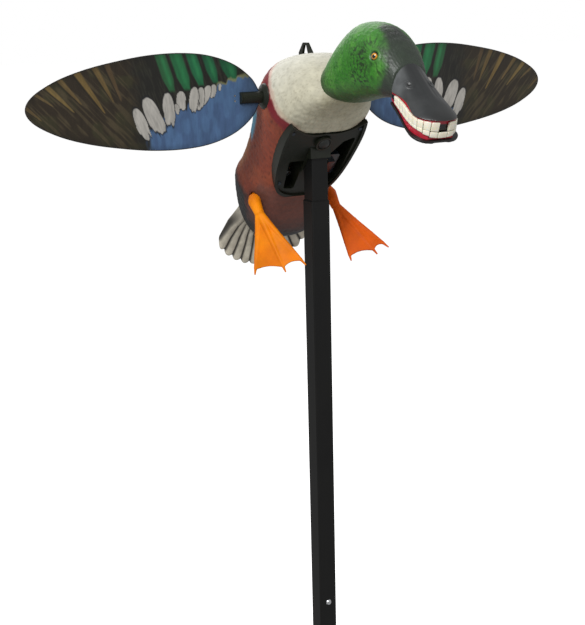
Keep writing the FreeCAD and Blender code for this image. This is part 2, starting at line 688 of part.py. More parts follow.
def make_head(body_outer):
    """Hollow head, eyes, and the wide bill with gums and teeth, the middle upper one missing."""
    to_level = Vector(0, 0, WING_Z)
    outer = skin_of(HEAD_STATIONS)
    inner = skin_of(HEAD_STATIONS, SKIN)
    bill = skin_of(BILL_STATIONS, low_power=2.2)
    for shape in (outer, inner, bill):
        shape.translate(to_level)

    eyes = {}
    for side, name in ((-1, "right_eye"), (1, "left_eye")):
        x, y, z = EYE_AT
        eyes[name] = Part.makeSphere(EYE_R, level(side * x, y, z))
        save(name, eyes[name])
    save("head_shell", without(outer, [inner, body_outer] + list(eyes.values())))

    upper = tooth_row(UPPER_LIP, 1, 0.10, 0.40)
    lower = tooth_row(LOWER_LIP, -1, 0.14, 0.33)
    upper.pop(TEETH_EACH_SIDE)
    bill = bill.cut(outer)
    upper_edge, lower_edge = lip_edge(UPPER_LIP), lip_edge(LOWER_LIP)
    above = slab_between(lip_edge(UPPER_LIP, -80), upper_edge)
    save("upper_bill", largest(bill.common(above)))
    lip_slab = slab_between(lower_edge, lip_edge(LOWER_LIP, LIP_THICK))
    save("lower_bill", largest(without(bill.common(lip_slab), lower)))

    mouth = skin_of([(low, high, half - 2.2) for low, high, half in BILL_STATIONS[:-1]], low_power=2.2)
    mouth.translate(to_level + ALONG_Y * 2.0)
    core = mouth.cut(outer).common(slab_between(upper_edge, lower_edge))
    save("gums", largest(without(core, upper + lower)))
    save("upper_teeth", Part.makeCompound(upper))
    save("lower_teeth", Part.makeCompound(lower))


def largest(shape):
    """Largest solid of a shape, which drops slivers."""
    return max(shape.Solids, key=lambda solid: solid.Volume)


# ---- whole decoy --------------------------------------------------------------------------
def main():
    os.makedirs("parts", exist_ok=True)
    make_stand()
    make_snap_button()
    plate_cut = from_body(plate_prism(-GAP, PLATE_FACE - 30, PLATE_FACE + PLATE_THICK))
    opening_cut = from_body(plate_prism(5, PLATE_FACE - 30, -30))
    body_outer, body_shell = make_body(plate_cut, opening_cut)
    make_hanging_tab(body_outer)
    housing = make_housing(body_outer)
    save("body_shell", largest(body_shell.cut(housing)))
    make_switch()
    make_electrics()
    make_drive()
    for side, name in ((-1, "right"), (1, "left")):
        make_wing(name, side)
    make_leg("right_leg", -1, level(-57, 48.5, -147.5),
             [level(-72, 35, -224), level(-48, -4, -216), level(-24, -12.5, -208.5)])
    make_leg("left_leg", 1, level(57, 52, -150),
             [level(48, -3, -213.5), level(78, -18, -206), level(95, -18, -199)])
    make_head(body_outer)


main()
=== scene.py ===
import itertools
import logging
import math
from collections.abc import Callable
from dataclasses import dataclass, field
from enum import Enum
from functools import partial

import bpy
import numpy as np
from mathutils import Matrix, Vector


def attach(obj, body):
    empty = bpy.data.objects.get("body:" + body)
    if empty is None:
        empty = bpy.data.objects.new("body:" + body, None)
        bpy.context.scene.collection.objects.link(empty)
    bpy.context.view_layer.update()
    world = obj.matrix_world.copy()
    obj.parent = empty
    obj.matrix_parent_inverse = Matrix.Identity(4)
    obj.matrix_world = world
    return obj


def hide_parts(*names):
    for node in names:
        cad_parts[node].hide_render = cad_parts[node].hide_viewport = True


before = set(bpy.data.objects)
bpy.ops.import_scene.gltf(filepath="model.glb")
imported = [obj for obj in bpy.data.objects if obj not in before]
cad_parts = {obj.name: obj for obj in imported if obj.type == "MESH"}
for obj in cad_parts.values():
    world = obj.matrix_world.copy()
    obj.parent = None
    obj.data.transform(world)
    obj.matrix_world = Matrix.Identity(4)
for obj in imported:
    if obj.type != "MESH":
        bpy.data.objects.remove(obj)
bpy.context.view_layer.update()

MM = 0.001
WING_Z = 870.0                    # height of the wing axis, mm
WING_Y = 6.0                      # wing axis behind the pole's axis, mm
LEVEL = np.array([0.0, 0.0, WING_Z])
BODY_PITCH = math.radians(49.3)   # how far the body hangs tail down
LEG_ROOT = (54.0, 140.0, -42.0)   # left leg's socket across, towards the tail and the back, mm
LEG_AXIS = (0.45, 0.1, -0.888)    # the way that the left leg points out of it
GLOSS_DRIFT = 0.08                # how far a finish's roughness drifts each way
MERGED = 1e-6                     # points nearer than this become one, m
CURVE_STEPS = 24                  # rows between two stations before they are spaced evenly
LOG = logging.getLogger("decoy")


# ---- numbers and fields -------------------------------------------------------------------
def smooth(low: float, high: float, value: np.ndarray) -> np.ndarray:
    """Blend from 0 at low to 1 at high.

    Args:
        low: Value where the blend starts.
        high: Value where the blend ends.
        value: Field to blend on.

    Returns:
        The blend at each point, with soft ends.
    """
    part = np.clip((value - low) / (high - low), 0.0, 1.0)
    return part * part * (3.0 - 2.0 * part)


def band(low: float, high: float, soft: float, value: np.ndarray) -> np.ndarray:
    """Mask that is 1 between low and high.

    Args:
        low: Lower edge of the band.
        high: Upper edge of the band.
        soft: Width of each soft edge.
        value: Field to mask on.

    Returns:
        The mask at each point.
    """
    return smooth(low - soft, low + soft, value) * (1.0 - smooth(high - soft, high + soft, value))


def cloud(points: np.ndarray, size: float, seed: float = 0.0) -> np.ndarray:
    """Smooth random field with lumps of a size.

    Args:
        points: Positions, one row each, in mm.
        size: Width of a lump in mm.
        seed: Number that picks another field.

    Returns:
        Values from 0 to 1.
    """
    grid = points / size + seed * 17.13
    cell = np.floor(grid)
    part = grid - cell
    part = part * part * (3.0 - 2.0 * part)
    primes = np.array([127.1, 311.7, 74.7])[:points.shape[1]]
    total = np.zeros(len(points))
    for corner in itertools.product((0.0, 1.0), repeat=points.shape[1]):
        weight = np.prod(np.where(np.array(corner) > 0.5, part, 1.0 - part), axis=1)
        value = np.sin((cell + corner) @ primes) * 43758.5453
        total += weight * (value - np.floor(value))
    return total


def to_linear(hex_colour: str) -> tuple[float, float, float, float]:
    """Turn an sRGB hex colour to linear light.

    Args:
        hex_colour: Colour such as "#4d6b94".

    Returns:
        Red, green, blue and alpha.
    """
    values = [int(hex_colour[i:i + 2], 16) / 255.0 for i in (1, 3, 5)]
    linear = [v / 12.92 if v <= 0.04045 else ((v + 0.055) / 1.055) ** 2.4 for v in values]
    return linear[0], linear[1], linear[2], 1.0


def rows_of(*fields: np.ndarray) -> np.ndarray:
    """Points from one field for each coordinate."""
    return np.stack(fields, axis=-1)


def from_body(points: np.ndarray) -> np.ndarray:
    """Find where points given along the body are in the row's frame.

    Args:
        points: Across, towards the tail and towards the back from the wing axis, in mm.

    Returns:
        Row positions in mm.
    """
    across, tail, back = points[..., 0], points[..., 1], points[..., 2]
    y = WING_Y + tail * math.cos(BODY_PITCH) + back * math.sin(BODY_PITCH)
    z = WING_Z - tail * math.sin(BODY_PITCH) + back * math.cos(BODY_PITCH)
    return rows_of(across, y, z)


def to_body(points: np.ndarray) -> np.ndarray:
    """Find where row points are along the body.

    Args:
        points: Row positions in mm.

    Returns:
        Across, towards the tail and towards the back from the wing axis, in mm.
    """
    y, z = points[..., 1] - WING_Y, points[..., 2] - WING_Z
    tail = y * math.cos(BODY_PITCH) - z * math.sin(BODY_PITCH)
    back = y * math.sin(BODY_PITCH) + z * math.cos(BODY_PITCH)
    return rows_of(points[..., 0], tail, back)


def patches(low: float, high: float, points: np.ndarray, size: float, seed: float = 0.0) -> np.ndarray:
    """Mask of soft random patches.

    Args:
        low: Cloud value where a patch starts.
        high: Cloud value where it is full.
        points: Positions in mm.
        size: Width of a patch in mm.
        seed: Number that picks another field.

    Returns:
        The mask at each point.
    """
    return smooth(low, high, cloud(points, size, seed))


def sway(points: np.ndarray, *layers: tuple[float, float, float]) -> np.ndarray:
    """Random shift that makes the edge of a colour ragged.

    Args:
        points: Positions in mm.
        *layers: Lump size in mm, seed and whole swing in mm of each layer.

    Returns:
        The shift at each point, in mm.
    """
    return sum((cloud(points, size, seed) - 0.5) * swing for size, seed, swing in layers)


def run_of(points: np.ndarray) -> np.ndarray:
    """Distance of each point along a line of points, from the first."""
    steps = np.linalg.norm(np.diff(points, axis=0), axis=1)
    return np.concatenate([[0], np.cumsum(steps)])


def at_distances(line: np.ndarray, run: np.ndarray, wanted: np.ndarray) -> np.ndarray:
    """Find points of a line by their distance along it.

    Args:
        line: Points of the line, one row each.
        run: Distance at each of them.
        wanted: Distances to find.

    Returns:
        One row for each distance.
    """
    return rows_of(*(np.interp(wanted, run, line[:, axis]) for axis in range(line.shape[1])))


def spline(knots: np.ndarray, before: np.ndarray, after: np.ndarray, steps: int) -> np.ndarray:
    """Run a smooth curve through knots, each a point or a whole ring of points.

    Args:
        knots: Knots in order.
        before: What would come before the first knot, for the curve's direction there.
        after: What would follow the last knot.
        steps: Points from each knot to the next.

    Returns:
        Points of the curve, with the last knot at its end.
    """
    ends = np.concatenate([[before], knots, [after]])
    fine = []
    for a, b, c, d in zip(ends, ends[1:], ends[2:], ends[3:]):
        for t in np.linspace(0, 1, steps, endpoint=False):
            fine.append(0.5 * (2 * b + (c - a) * t + (2 * a - 5 * b + 4 * c - d) * t * t
                               + (3 * b - a - 3 * c + d) * t ** 3))
    return np.array(fine + [knots[-1]])


def normals_of(grid: np.ndarray, wrapped: bool) -> np.ndarray:
    """Unit normals of a grid of points.

    Args:
        grid: Points in rows and columns.
        wrapped: Whether the last column meets the first.

    Returns:
        One normal for each point, along rows crossed with columns.
    """
    along = np.gradient(grid, axis=0)
    if wrapped:
        round_it = np.roll(grid, -1, axis=1) - np.roll(grid, 1, axis=1)
    else:
        round_it = np.gradient(grid, axis=1)
    normal = np.cross(along, round_it)
    return normal / np.maximum(np.linalg.norm(normal, axis=2, keepdims=True), 1e-9)


# ---- finishes -----------------------------------------------------------------------------
def empty_tree(owner: bpy.types.Material | bpy.types.World) -> bpy.types.NodeTree:
    """Turn on nodes and clear them.

    Args:
        owner: Material or world.

    Returns:
        Its empty node tree.
    """
    owner.use_nodes = True
    owner.node_tree.nodes.clear()
    return owner.node_tree


def add_node(tree: bpy.types.NodeTree, kind: str, values: dict, **settings) -> bpy.types.Node:
    """Add one shader node.

    Args:
        tree: Node tree to add to.
        kind: Node's type name.
        values: Socket name or number to a value, or to the socket that is linked to it.
        **settings: Properties of the node.

    Returns:
        The new node.
    """
    node = tree.nodes.new(kind)
    for name, value in settings.items():
        setattr(node, name, value)
    for name, value in values.items():
        if isinstance(value, bpy.types.NodeSocket):
            tree.links.new(value, node.inputs[name])
        else:
            node.inputs[name].default_value = value
    return node


@dataclass(frozen=True)
class Finish:
    """One real material, how its surface was made, and what that gives the eye.

    Colour drifts between two shades over drift_mm. The grain is the fine relief of the
    surface. A grain finer than 0.6 mm wouldn't show, so none is drawn finer than that.
    Painted pieces take their colour from the paint attribute of their mesh.
    """

    name: str
    shade: str
    other_shade: str
    roughness: float
    drift_mm: float = 30.0
    grain_mm: float = 0.8
    grain_depth_mm: float = 0.05
    metallic: float = 0.0
    ior: float = 1.5
    coat: float = 0.0
    soft_light: float = 0.0
    painted: bool = False
    brush: tuple[float, float, float] = (1.0, 1.0, 1.0)

    def build(self) -> bpy.types.Material:
        """Make the material's nodes, once.

        Returns:
            The material.
        """
        label = self.name + "_finish"
        if label in bpy.data.materials:
            return bpy.data.materials[label]
        material = bpy.data.materials.new(label)
        tree = empty_tree(material)
        place = add_node(tree, "ShaderNodeTexCoord", {})
        stretched = add_node(tree, "ShaderNodeMapping",
                             {"Vector": place.outputs["Object"], "Scale": self.brush})
        drift = add_node(tree, "ShaderNodeTexNoise",
                         {"Vector": stretched.outputs["Vector"], "Scale": 1.0 / (self.drift_mm * MM),
                          "Detail": 5.0, "Roughness": 0.6})
        even = add_node(tree, "ShaderNodeMapRange",
                        {"Value": drift.outputs["Fac"], "From Min": 0.32, "From Max": 0.68})
        shade = add_node(tree, "ShaderNodeMix",
                         {0: even.outputs["Result"], 6: to_linear(self.shade),
                          7: to_linear(self.other_shade)}, data_type="RGBA")
        colour = shade.outputs[2]
        if self.painted:
            paint = add_node(tree, "ShaderNodeAttribute", {}, attribute_name="paint")
            colour = add_node(tree, "ShaderNodeMix",
                              {0: 1.0, 6: paint.outputs["Color"], 7: colour},
                              data_type="RGBA", blend_type="MULTIPLY").outputs[2]
        gloss = add_node(tree, "ShaderNodeMapRange",
                         {"Value": drift.outputs["Fac"],
                          "To Min": max(self.roughness - GLOSS_DRIFT, 0.02),
                          "To Max": min(self.roughness + GLOSS_DRIFT, 1.0)})
        grain = add_node(tree, "ShaderNodeTexNoise",
                         {"Vector": stretched.outputs["Vector"], "Scale": 1.0 / (self.grain_mm * MM),
                          "Detail": 3.0, "Roughness": 0.55})
        relief = add_node(tree, "ShaderNodeBump",
                          {"Height": grain.outputs["Fac"], "Strength": 1.0,
                           "Distance": self.grain_depth_mm * MM})
        surface = add_node(tree, "ShaderNodeBsdfPrincipled",
                           {"Base Color": colour, "Roughness": gloss.outputs["Result"],
                            "Metallic": self.metallic, "IOR": self.ior, "Coat Weight": self.coat,
                            "Coat Roughness": 0.15, "Normal": relief.outputs["Normal"]})
        if self.soft_light:
            surface.inputs["Subsurface Weight"].default_value = self.soft_light
            surface.inputs["Subsurface Scale"].default_value = 2.5 * MM
            surface.inputs["Subsurface Radius"].default_value = (1.0, 0.45, 0.2)
        add_node(tree, "ShaderNodeOutputMaterial", {"Surface": surface.outputs["BSDF"]})
        return material


# Steel tube, powder coated: satin black with a fine orange peel.
POWDER_COAT = Finish("powder_coated_steel", "#0b0b0b", "#111110", 0.55, 60.0, 0.9, 0.03, ior=1.33)
# Black ABS, moulded in a lightly sparked tool: dark green-grey, soft broad highlights.
ABS = Finish("moulded_abs", "#14170f", "#1d2017", 0.4, 25.0, 0.7, 0.03, ior=1.38)
# Polyethylene, blow moulded and sprayed by hand: matt, a little uneven.
SPRAYED = Finish("sprayed_polyethylene", "#e6e6e6", "#ffffff", 0.62, 9.0, 1.4, 0.12, painted=True)
# The same skin on the head, with a slight sheen from its lacquer.
LACQUERED = Finish("lacquered_polyethylene", "#e0e0e0", "#ffffff", 0.48, 7.0, 1.3, 0.12, coat=0.08,
                   painted=True)
# Sprayed bill, satin: smooth, with broad soft highlights.
BILL_PAINT = Finish("satin_bill_paint", "#e8e8e8", "#ffffff", 0.36, 14.0, 1.5, 0.03, painted=True)
# Soft vinyl, rotocast: light goes a little way in.
VINYL = Finish("soft_vinyl", "#e4e4e4", "#ffffff", 0.6, 20.0, 1.1, 0.03, ior=1.3, soft_light=0.04,
               painted=True)
# Aluminium sheet, printed: colours under a thin satin lacquer.
PRINT = Finish("printed_aluminium", "#dcdcdc", "#ffffff", 0.5, 6.0, 1.2, 0.01, ior=1.38, painted=True,
               brush=(1.0, 1.0, 0.25))
# Aluminium sheet, coil coated white: smooth satin.
COIL_WHITE = Finish("coil_coated_aluminium", "#d8d6cf", "#e2e0da", 0.4, 80.0, 1.5, 0.01)
# Enamelled acrylic teeth: cream, glossy, slightly waxy.
ENAMEL = Finish("cream_enamel", "#e9e2c9", "#f2eddc", 0.22, 6.0, 1.2, 0.02, coat=0.3, soft_light=0.1)
# Gloss red paint on the gums: wet looking.
GUM_PAINT = Finish("gloss_red_paint", "#e0e0e0", "#ffffff", 0.24, 8.0, 1.2, 0.04, coat=0.4,
                   painted=True)
# Acrylic eye under clear lacquer.
EYE = Finish("clear_coated_acrylic", "#f0f0f0", "#ffffff", 0.08, 3.0, 1.5, 0.0, coat=1.0, painted=True)
# Steel, zinc plated: pale, faintly mottled.
ZINC = Finish("zinc_plated_steel", "#a9aba8", "#c0c2c0", 0.34, 8.0, 0.8, 0.02, metallic=1.0)
# Steel, polished: bright.
BRIGHT = Finish("polished_steel", "#c9cacc", "#d8d9da", 0.16, 12.0, 0.8, 0.005, metallic=1.0)
# Spring steel, blued in oil: dark and slightly rough.
BLUED = Finish("blued_spring_steel", "#3f4650", "#4c5158", 0.38, 6.0, 0.6, 0.01, metallic=1.0)
# Brass, stamped: warm, lightly worn.
BRASS = Finish("stamped_brass", "#b8924a", "#c9a55c", 0.3, 5.0, 0.6, 0.01, metallic=1.0)
# Rubber boot, moulded: dull black.
BOOT = Finish("moulded_rubber", "#141513", "#1d1f1c", 0.5, 10.0, 0.6, 0.03)
# Cells under shrink wrap: tight glossy film.
WRAP = Finish("shrink_wrap", "#151a20", "#1d242c", 0.22, 14.0, 3.0, 0.08, coat=0.3)

NODE_FINISHES = {
    POWDER_COAT: ["lower_tube", "upper_tube", "top_post", "post_pin", "tube_collar"],
    ABS: ["hanging_tab", "housing", "motor_mount", "left_bushing", "right_bushing",
          "control_box", "switch_bezel", "left_wing_post", "right_wing_post", "left_wing_clip",
          "right_wing_clip"],
    ZINC: ["ground_spike", "motor_can"],
    BRIGHT: ["snap_button", "charge_jack", "motor_shaft",
             "wing_magnets", "left_wing_rivets", "right_wing_rivets"],
    BLUED: ["snap_spring", "housing_screws"],
    BRASS: ["battery_contacts", "post_clip"],
    BOOT: ["switch_button"],
    WRAP: ["battery"],
}


def send_out(piece: bpy.types.Object, finish: Finish, body: str, node: str = "") -> None:
    """Give a piece its finish and its place in the frame.

    Args:
        piece: Finished mesh object.
        finish: Its finish all over.
        body: Body that it moves with.
        node: Node that it stands for, if it stands for one.
    """
    piece.data.materials.clear()
    piece.data.materials.append(finish.build())
    if node:
        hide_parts(node)
    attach(piece, body)
    LOG.info("%s on %s: %s, %d faces", piece.name, body, finish.name, len(piece.data.polygons))


def dress_nodes() -> None:
    """Give each node that is kept as it is its own finish."""
    for finish, nodes in NODE_FINISHES.items():
        for name in nodes:
            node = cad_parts[name]
            if not node.material_slots:
                node.data.materials.append(None)
            for slot in node.material_slots:
                slot.material = finish.build()
            LOG.info("node %s: %s", name, finish.name)


class Canvas:
    """Colours of a mesh's points, laid on zone by zone."""

    def __init__(self, count: int, base: str) -> None:
        """Start with one colour all over.

        Args:
            count: Number of points.
            base: Hex colour.
        """
        self.colour = np.tile(np.array(to_linear(base)), (count, 1))

    def lay(self, mask: np.ndarray, shade: str) -> None:
        """Lay a colour where a mask is above 0.

        Args:
            mask: Share of the colour at each point.
            shade: Hex colour.
        """
        mask = np.clip(mask, 0.0, 1.0).reshape(-1, 1)
        self.colour += (np.array(to_linear(shade)) - self.colour) * mask

    def dim(self, factor: np.ndarray) -> None:
        """Multiply the colour by a factor at each point."""
        self.colour[:, :3] *= factor.reshape(-1, 1)

    def write(self, piece: bpy.types.Object) -> None:
        """Store the colours on a piece's points."""
        layer = piece.data.attributes.new("paint", "FLOAT_COLOR", "POINT")
        layer.data.foreach_set("color", self.colour.astype(np.float32).ravel())


# ---- modelling steps ----------------------------------------------------------------------
def deselect() -> None:
    """Leave nothing selected."""
    if bpy.context.object and bpy.context.object.mode != "OBJECT":
        bpy.ops.object.mode_set(mode="OBJECT")
    bpy.ops.object.select_all(action="DESELECT")


def pick(piece: bpy.types.Object) -> None:
    """Select one piece alone and make it active.

    Args:
        piece: Object to select.
    """
    deselect()
    piece.select_set(True)
    bpy.context.view_layer.objects.active = piece


def settle(piece: bpy.types.Object) -> None:
    """Move a piece's place, turn and size into its mesh."""
    pick(piece)
    bpy.ops.object.transform_apply(location=True, rotation=True, scale=True)


def edit_all(piece: bpy.types.Object, *steps: Callable) -> None:
    """Run edit mode operators on all of a piece.

    Args:
        piece: Mesh object.
        *steps: Operators, in order.
    """
    pick(piece)
    bpy.ops.object.mode_set(mode="EDIT")
    bpy.ops.mesh.select_all(action="SELECT")
    for step in steps:
        step()
    bpy.ops.object.mode_set(mode="OBJECT")


def values_at(piece: bpy.types.Object, kind: str) -> np.ndarray:
    """Read a vector for each of a piece's points.

    Args:
        piece: Mesh object.
        kind: "co" for places in metres, or "normal".

    Returns:
        One row for each point.
    """
    flat = np.empty(len(piece.data.vertices) * 3, dtype=np.float32)
    piece.data.vertices.foreach_get(kind, flat)
    return flat.reshape(-1, 3).astype(float)


def points_of(piece: bpy.types.Object) -> np.ndarray:
    """Positions of a piece's points in mm."""
    return values_at(piece, "co") / MM


def mesh_normals(piece: bpy.types.Object) -> np.ndarray:
    """Unit normals at a piece's points."""
    return values_at(piece, "normal")


def move_points(piece: bpy.types.Object, points: np.ndarray) -> None:
    """Put a piece's points at positions in mm."""
    piece.data.vertices.foreach_set("co", (points * MM).astype(np.float32).ravel())
    piece.data.update()


def finish_modifier(piece: bpy.types.Object, kind: str, **settings) -> None:
    """Add a modifier and apply it.

    Args:
        piece: Mesh object.
        kind: Modifier type.
        **settings: Its properties.
    """
    pick(piece)
    modifier = piece.modifiers.new(kind.lower(), kind)
    for name, value in settings.items():
        setattr(modifier, name, value)
    bpy.ops.object.modifier_apply(modifier=modifier.name)


def shade_round(piece: bpy.types.Object) -> None:
    """Shade a piece smooth all over."""
    pick(piece)
    bpy.ops.object.shade_smooth()


def woven(name: str, grid: np.ndarray, wrapped: bool = False) -> bpy.types.Object:
    """Grid primitive shaped to rows and columns of points.

    Args:
        name: Piece's name.
        grid: Points in mm, rows by columns by 3.
        wrapped: Whether to join the last column to the first.

    Returns:
        The new piece, shaded smooth, with its doubles merged.
    """
    if wrapped:
        grid = np.concatenate([grid, grid[:, :1]], axis=1)
    rows, columns = grid.shape[:2]
    deselect()
    bpy.ops.mesh.primitive_grid_add(x_subdivisions=columns - 1, y_subdivisions=rows - 1, size=1.0)
    piece = bpy.context.object
    piece.name = piece.data.name = name
    move_points(piece, grid.reshape(-1, 3))
    edit_all(piece, partial(bpy.ops.mesh.remove_doubles, threshold=MERGED),
             partial(bpy.ops.mesh.normals_make_consistent, inside=False))
    shade_round(piece)
    return piece


def copy_of_node(node: str, name: str) -> bpy.types.Object:
    """Start a piece from a node's solid, with its loose triangles merged.

    Args:
        node: Node to copy.
        name: The piece's name.

    Returns:
        The new piece.
    """
    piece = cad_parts[node].copy()
    piece.data = piece.data.copy()
    piece.name = piece.data.name = name
    piece.parent = None
    bpy.context.scene.collection.objects.link(piece)
    edit_all(piece, partial(bpy.ops.mesh.remove_doubles, threshold=MERGED))
    return piece


def softened(piece: bpy.types.Object, voxel_mm: float, passes: int) -> None:
    """Remesh a piece evenly and round its edges off.

    Args:
        piece: Closed mesh object.
        voxel_mm: Size of its new faces.
        passes: Smoothing steps.
    """
    finish_modifier(piece, "REMESH", mode="VOXEL", voxel_size=voxel_mm * MM, use_smooth_shade=True)
    finish_modifier(piece, "SMOOTH", factor=0.5, iterations=passes)


def joined(pieces: list[bpy.types.Object], name: str) -> bpy.types.Object:
    """Join several mesh objects into one.

    Args:
        pieces: Objects to join.
        name: Name of the result.

    Returns:
        The joined object.
    """
    pick(pieces[0])
    for piece in pieces[1:]:
        piece.select_set(True)
    bpy.ops.object.join()
    result = bpy.context.object
    result.name = result.data.name = name
    return result


def cone_between(start: np.ndarray, end: np.ndarray, start_r: float, end_r: float) -> bpy.types.Object:
    """Tapered round bar between two points.

    Args:
        start: Middle of its first end, in mm.
        end: Middle of its last end, in mm.
        start_r: Radius of the first end, in mm.
        end_r: Radius of the last end, in mm.

    Returns:
        The bar.
    """
    run = Vector((end - start) * MM)
    deselect()
    bpy.ops.mesh.primitive_cone_add(vertices=24, radius1=start_r * MM, radius2=end_r * MM,
                                    depth=run.length, location=Vector((start + end) * 0.5 * MM),
                                    rotation=run.to_track_quat("Z", "Y").to_euler())
    piece = bpy.context.object
    settle(piece)
    return piece


def ball(centre: np.ndarray, radius: float, segments: int = 24) -> bpy.types.Object:
    """Sphere at a point.

    Args:
        centre: Its middle, in mm.
        radius: Its radius, in mm.
        segments: Faces round it.

    Returns:
        The sphere.
    """
    deselect()
    bpy.ops.mesh.primitive_uv_sphere_add(segments=segments, ring_count=segments // 2,
                                         radius=radius * MM, location=Vector(centre * MM))
    piece = bpy.context.object
    settle(piece)
    return piece


def remove_points(piece: bpy.types.Object, mask: np.ndarray) -> None:
    """Delete some points and their faces.

    Args:
        piece: Mesh object.
        mask: True at the points to delete.
    """
    edit_all(piece, partial(bpy.ops.mesh.select_all, action="DESELECT"))
    piece.data.vertices.foreach_set("select", mask.astype(bool))
    bpy.ops.object.mode_set(mode="EDIT")
    bpy.ops.mesh.delete(type="VERT")
    bpy.ops.object.mode_set(mode="OBJECT")


# ---- lofted skins -------------------------------------------------------------------------
@dataclass
class Skin:
    """Oval sections strung along the duck, as (low point, high point, half width) stations."""

    stations: list
    low_power: float
    high_power: float
    spacing: float
    columns: int

    def ring(self, low: tuple, high: tuple, half_width: float) -> np.ndarray:
        """Draw one section, evenly divided, from its top round over the duck's right side.

        Args:
            low: Lowest point of the section.
            high: Its highest point.
            half_width: Half its width.

        Returns:
            Points of the section.
        """
        low, high = np.array(low, float), np.array(high, float)
        angle = np.linspace(0.5 * math.pi, 2.5 * math.pi, 721)
        across, rise = np.cos(angle), np.sin(angle)
        power = np.where(rise > 0, self.high_power, self.low_power)
        x = half_width * np.sign(across) * np.abs(across) ** (2 / power)
        reach = np.sign(rise) * np.abs(rise) ** (2 / power)
        line = (low + high) / 2 + np.outer(x, (1, 0, 0)) + np.outer(reach, (high - low) / 2)
        run = run_of(line)
        return at_distances(line, run, np.linspace(0, run[-1], self.columns, endpoint=False))

    def grid(self) -> np.ndarray:
        """String smooth rows of points through every station, evenly spaced.

        Returns:
            Points in rows and columns.
        """
        rings = np.array([self.ring(*station) for station in self.stations])
        fine = spline(rings, 2 * rings[0] - rings[1], 2 * rings[-1] - rings[-2], CURVE_STEPS)
        step = np.linalg.norm(np.diff(fine, axis=0), axis=2).mean(axis=1)
        run = np.concatenate([[0], np.cumsum(step)])
        even = np.linspace(0, run[-1], int(run[-1] / self.spacing) + 1)
        rows = at_distances(fine.reshape(len(fine), -1), run, even)
        return rows.reshape(len(even), self.columns, 3)


def rounded_end(rim: np.ndarray, inner: np.ndarray, bulge: float) -> np.ndarray:
    """Rows that close one end of a skin.

    Args:
        rim: Last row of the skin.
        inner: Row a little further in, for the direction outwards.
        bulge: How far the end swells out, in mm.

    Returns:
        Rows from the rim outwards, the last drawn to a point.
    """
    middle = rim.mean(axis=0)
    out = middle - inner.mean(axis=0)
    out = out / np.linalg.norm(out)
    return np.array([middle + (rim - middle) * math.cos(angle) + out * bulge * math.sin(angle)
                     for angle in np.linspace(0, math.pi / 2, 9)[1:]])


def capped(grid: np.ndarray, bulge_start: float, bulge_end: float) -> np.ndarray:
    """Close both ends of a wrapped grid with rounded rows.

    Args:
        grid: Rows and columns of points.
        bulge_start: How far the first end swells out, in mm.
        bulge_end: How far the last end swells out, in mm.

    Returns:
        The grid with rows added at each end, the outermost drawn to a point.
    """
    start = rounded_end(grid[0], grid[3], bulge_start)
    return np.concatenate([start[::-1], grid, rounded_end(grid[-1], grid[-4], bulge_end)])


def feather_steps(along: np.ndarray, round_it: np.ndarray, length: float, width: float) -> np.ndarray:
    """Relief of overlapping feathers, each rising to its rounded tip.

    Args:
        along: Distance towards the feathers' tips, in mm.
        round_it: Distance across them, in mm.
        length: Shown length of a feather.
        width: Its width.

    Returns:
        Height from 0 to 1.
    """
    row = np.floor(along / length)
    side = round_it / width + 0.5 * np.mod(row, 2)
    off_centre = side - np.floor(side) - 0.5
    return np.mod(along / length + 1.44 * off_centre ** 2, 1.0)


def spread_round(grid: np.ndarray, half_mm: float) -> np.ndarray:
    """Distance round a wrapped grid from its top, the same in every row.

    Args:
        grid: Rows and columns of points.
        half_mm: Distance from the top to the bottom.

    Returns:
        One value for each point, negative on the duck's right side.
    """
    ring = np.linspace(-half_mm, half_mm, grid.shape[1], endpoint=False)
    return np.tile(ring, (grid.shape[0], 1))


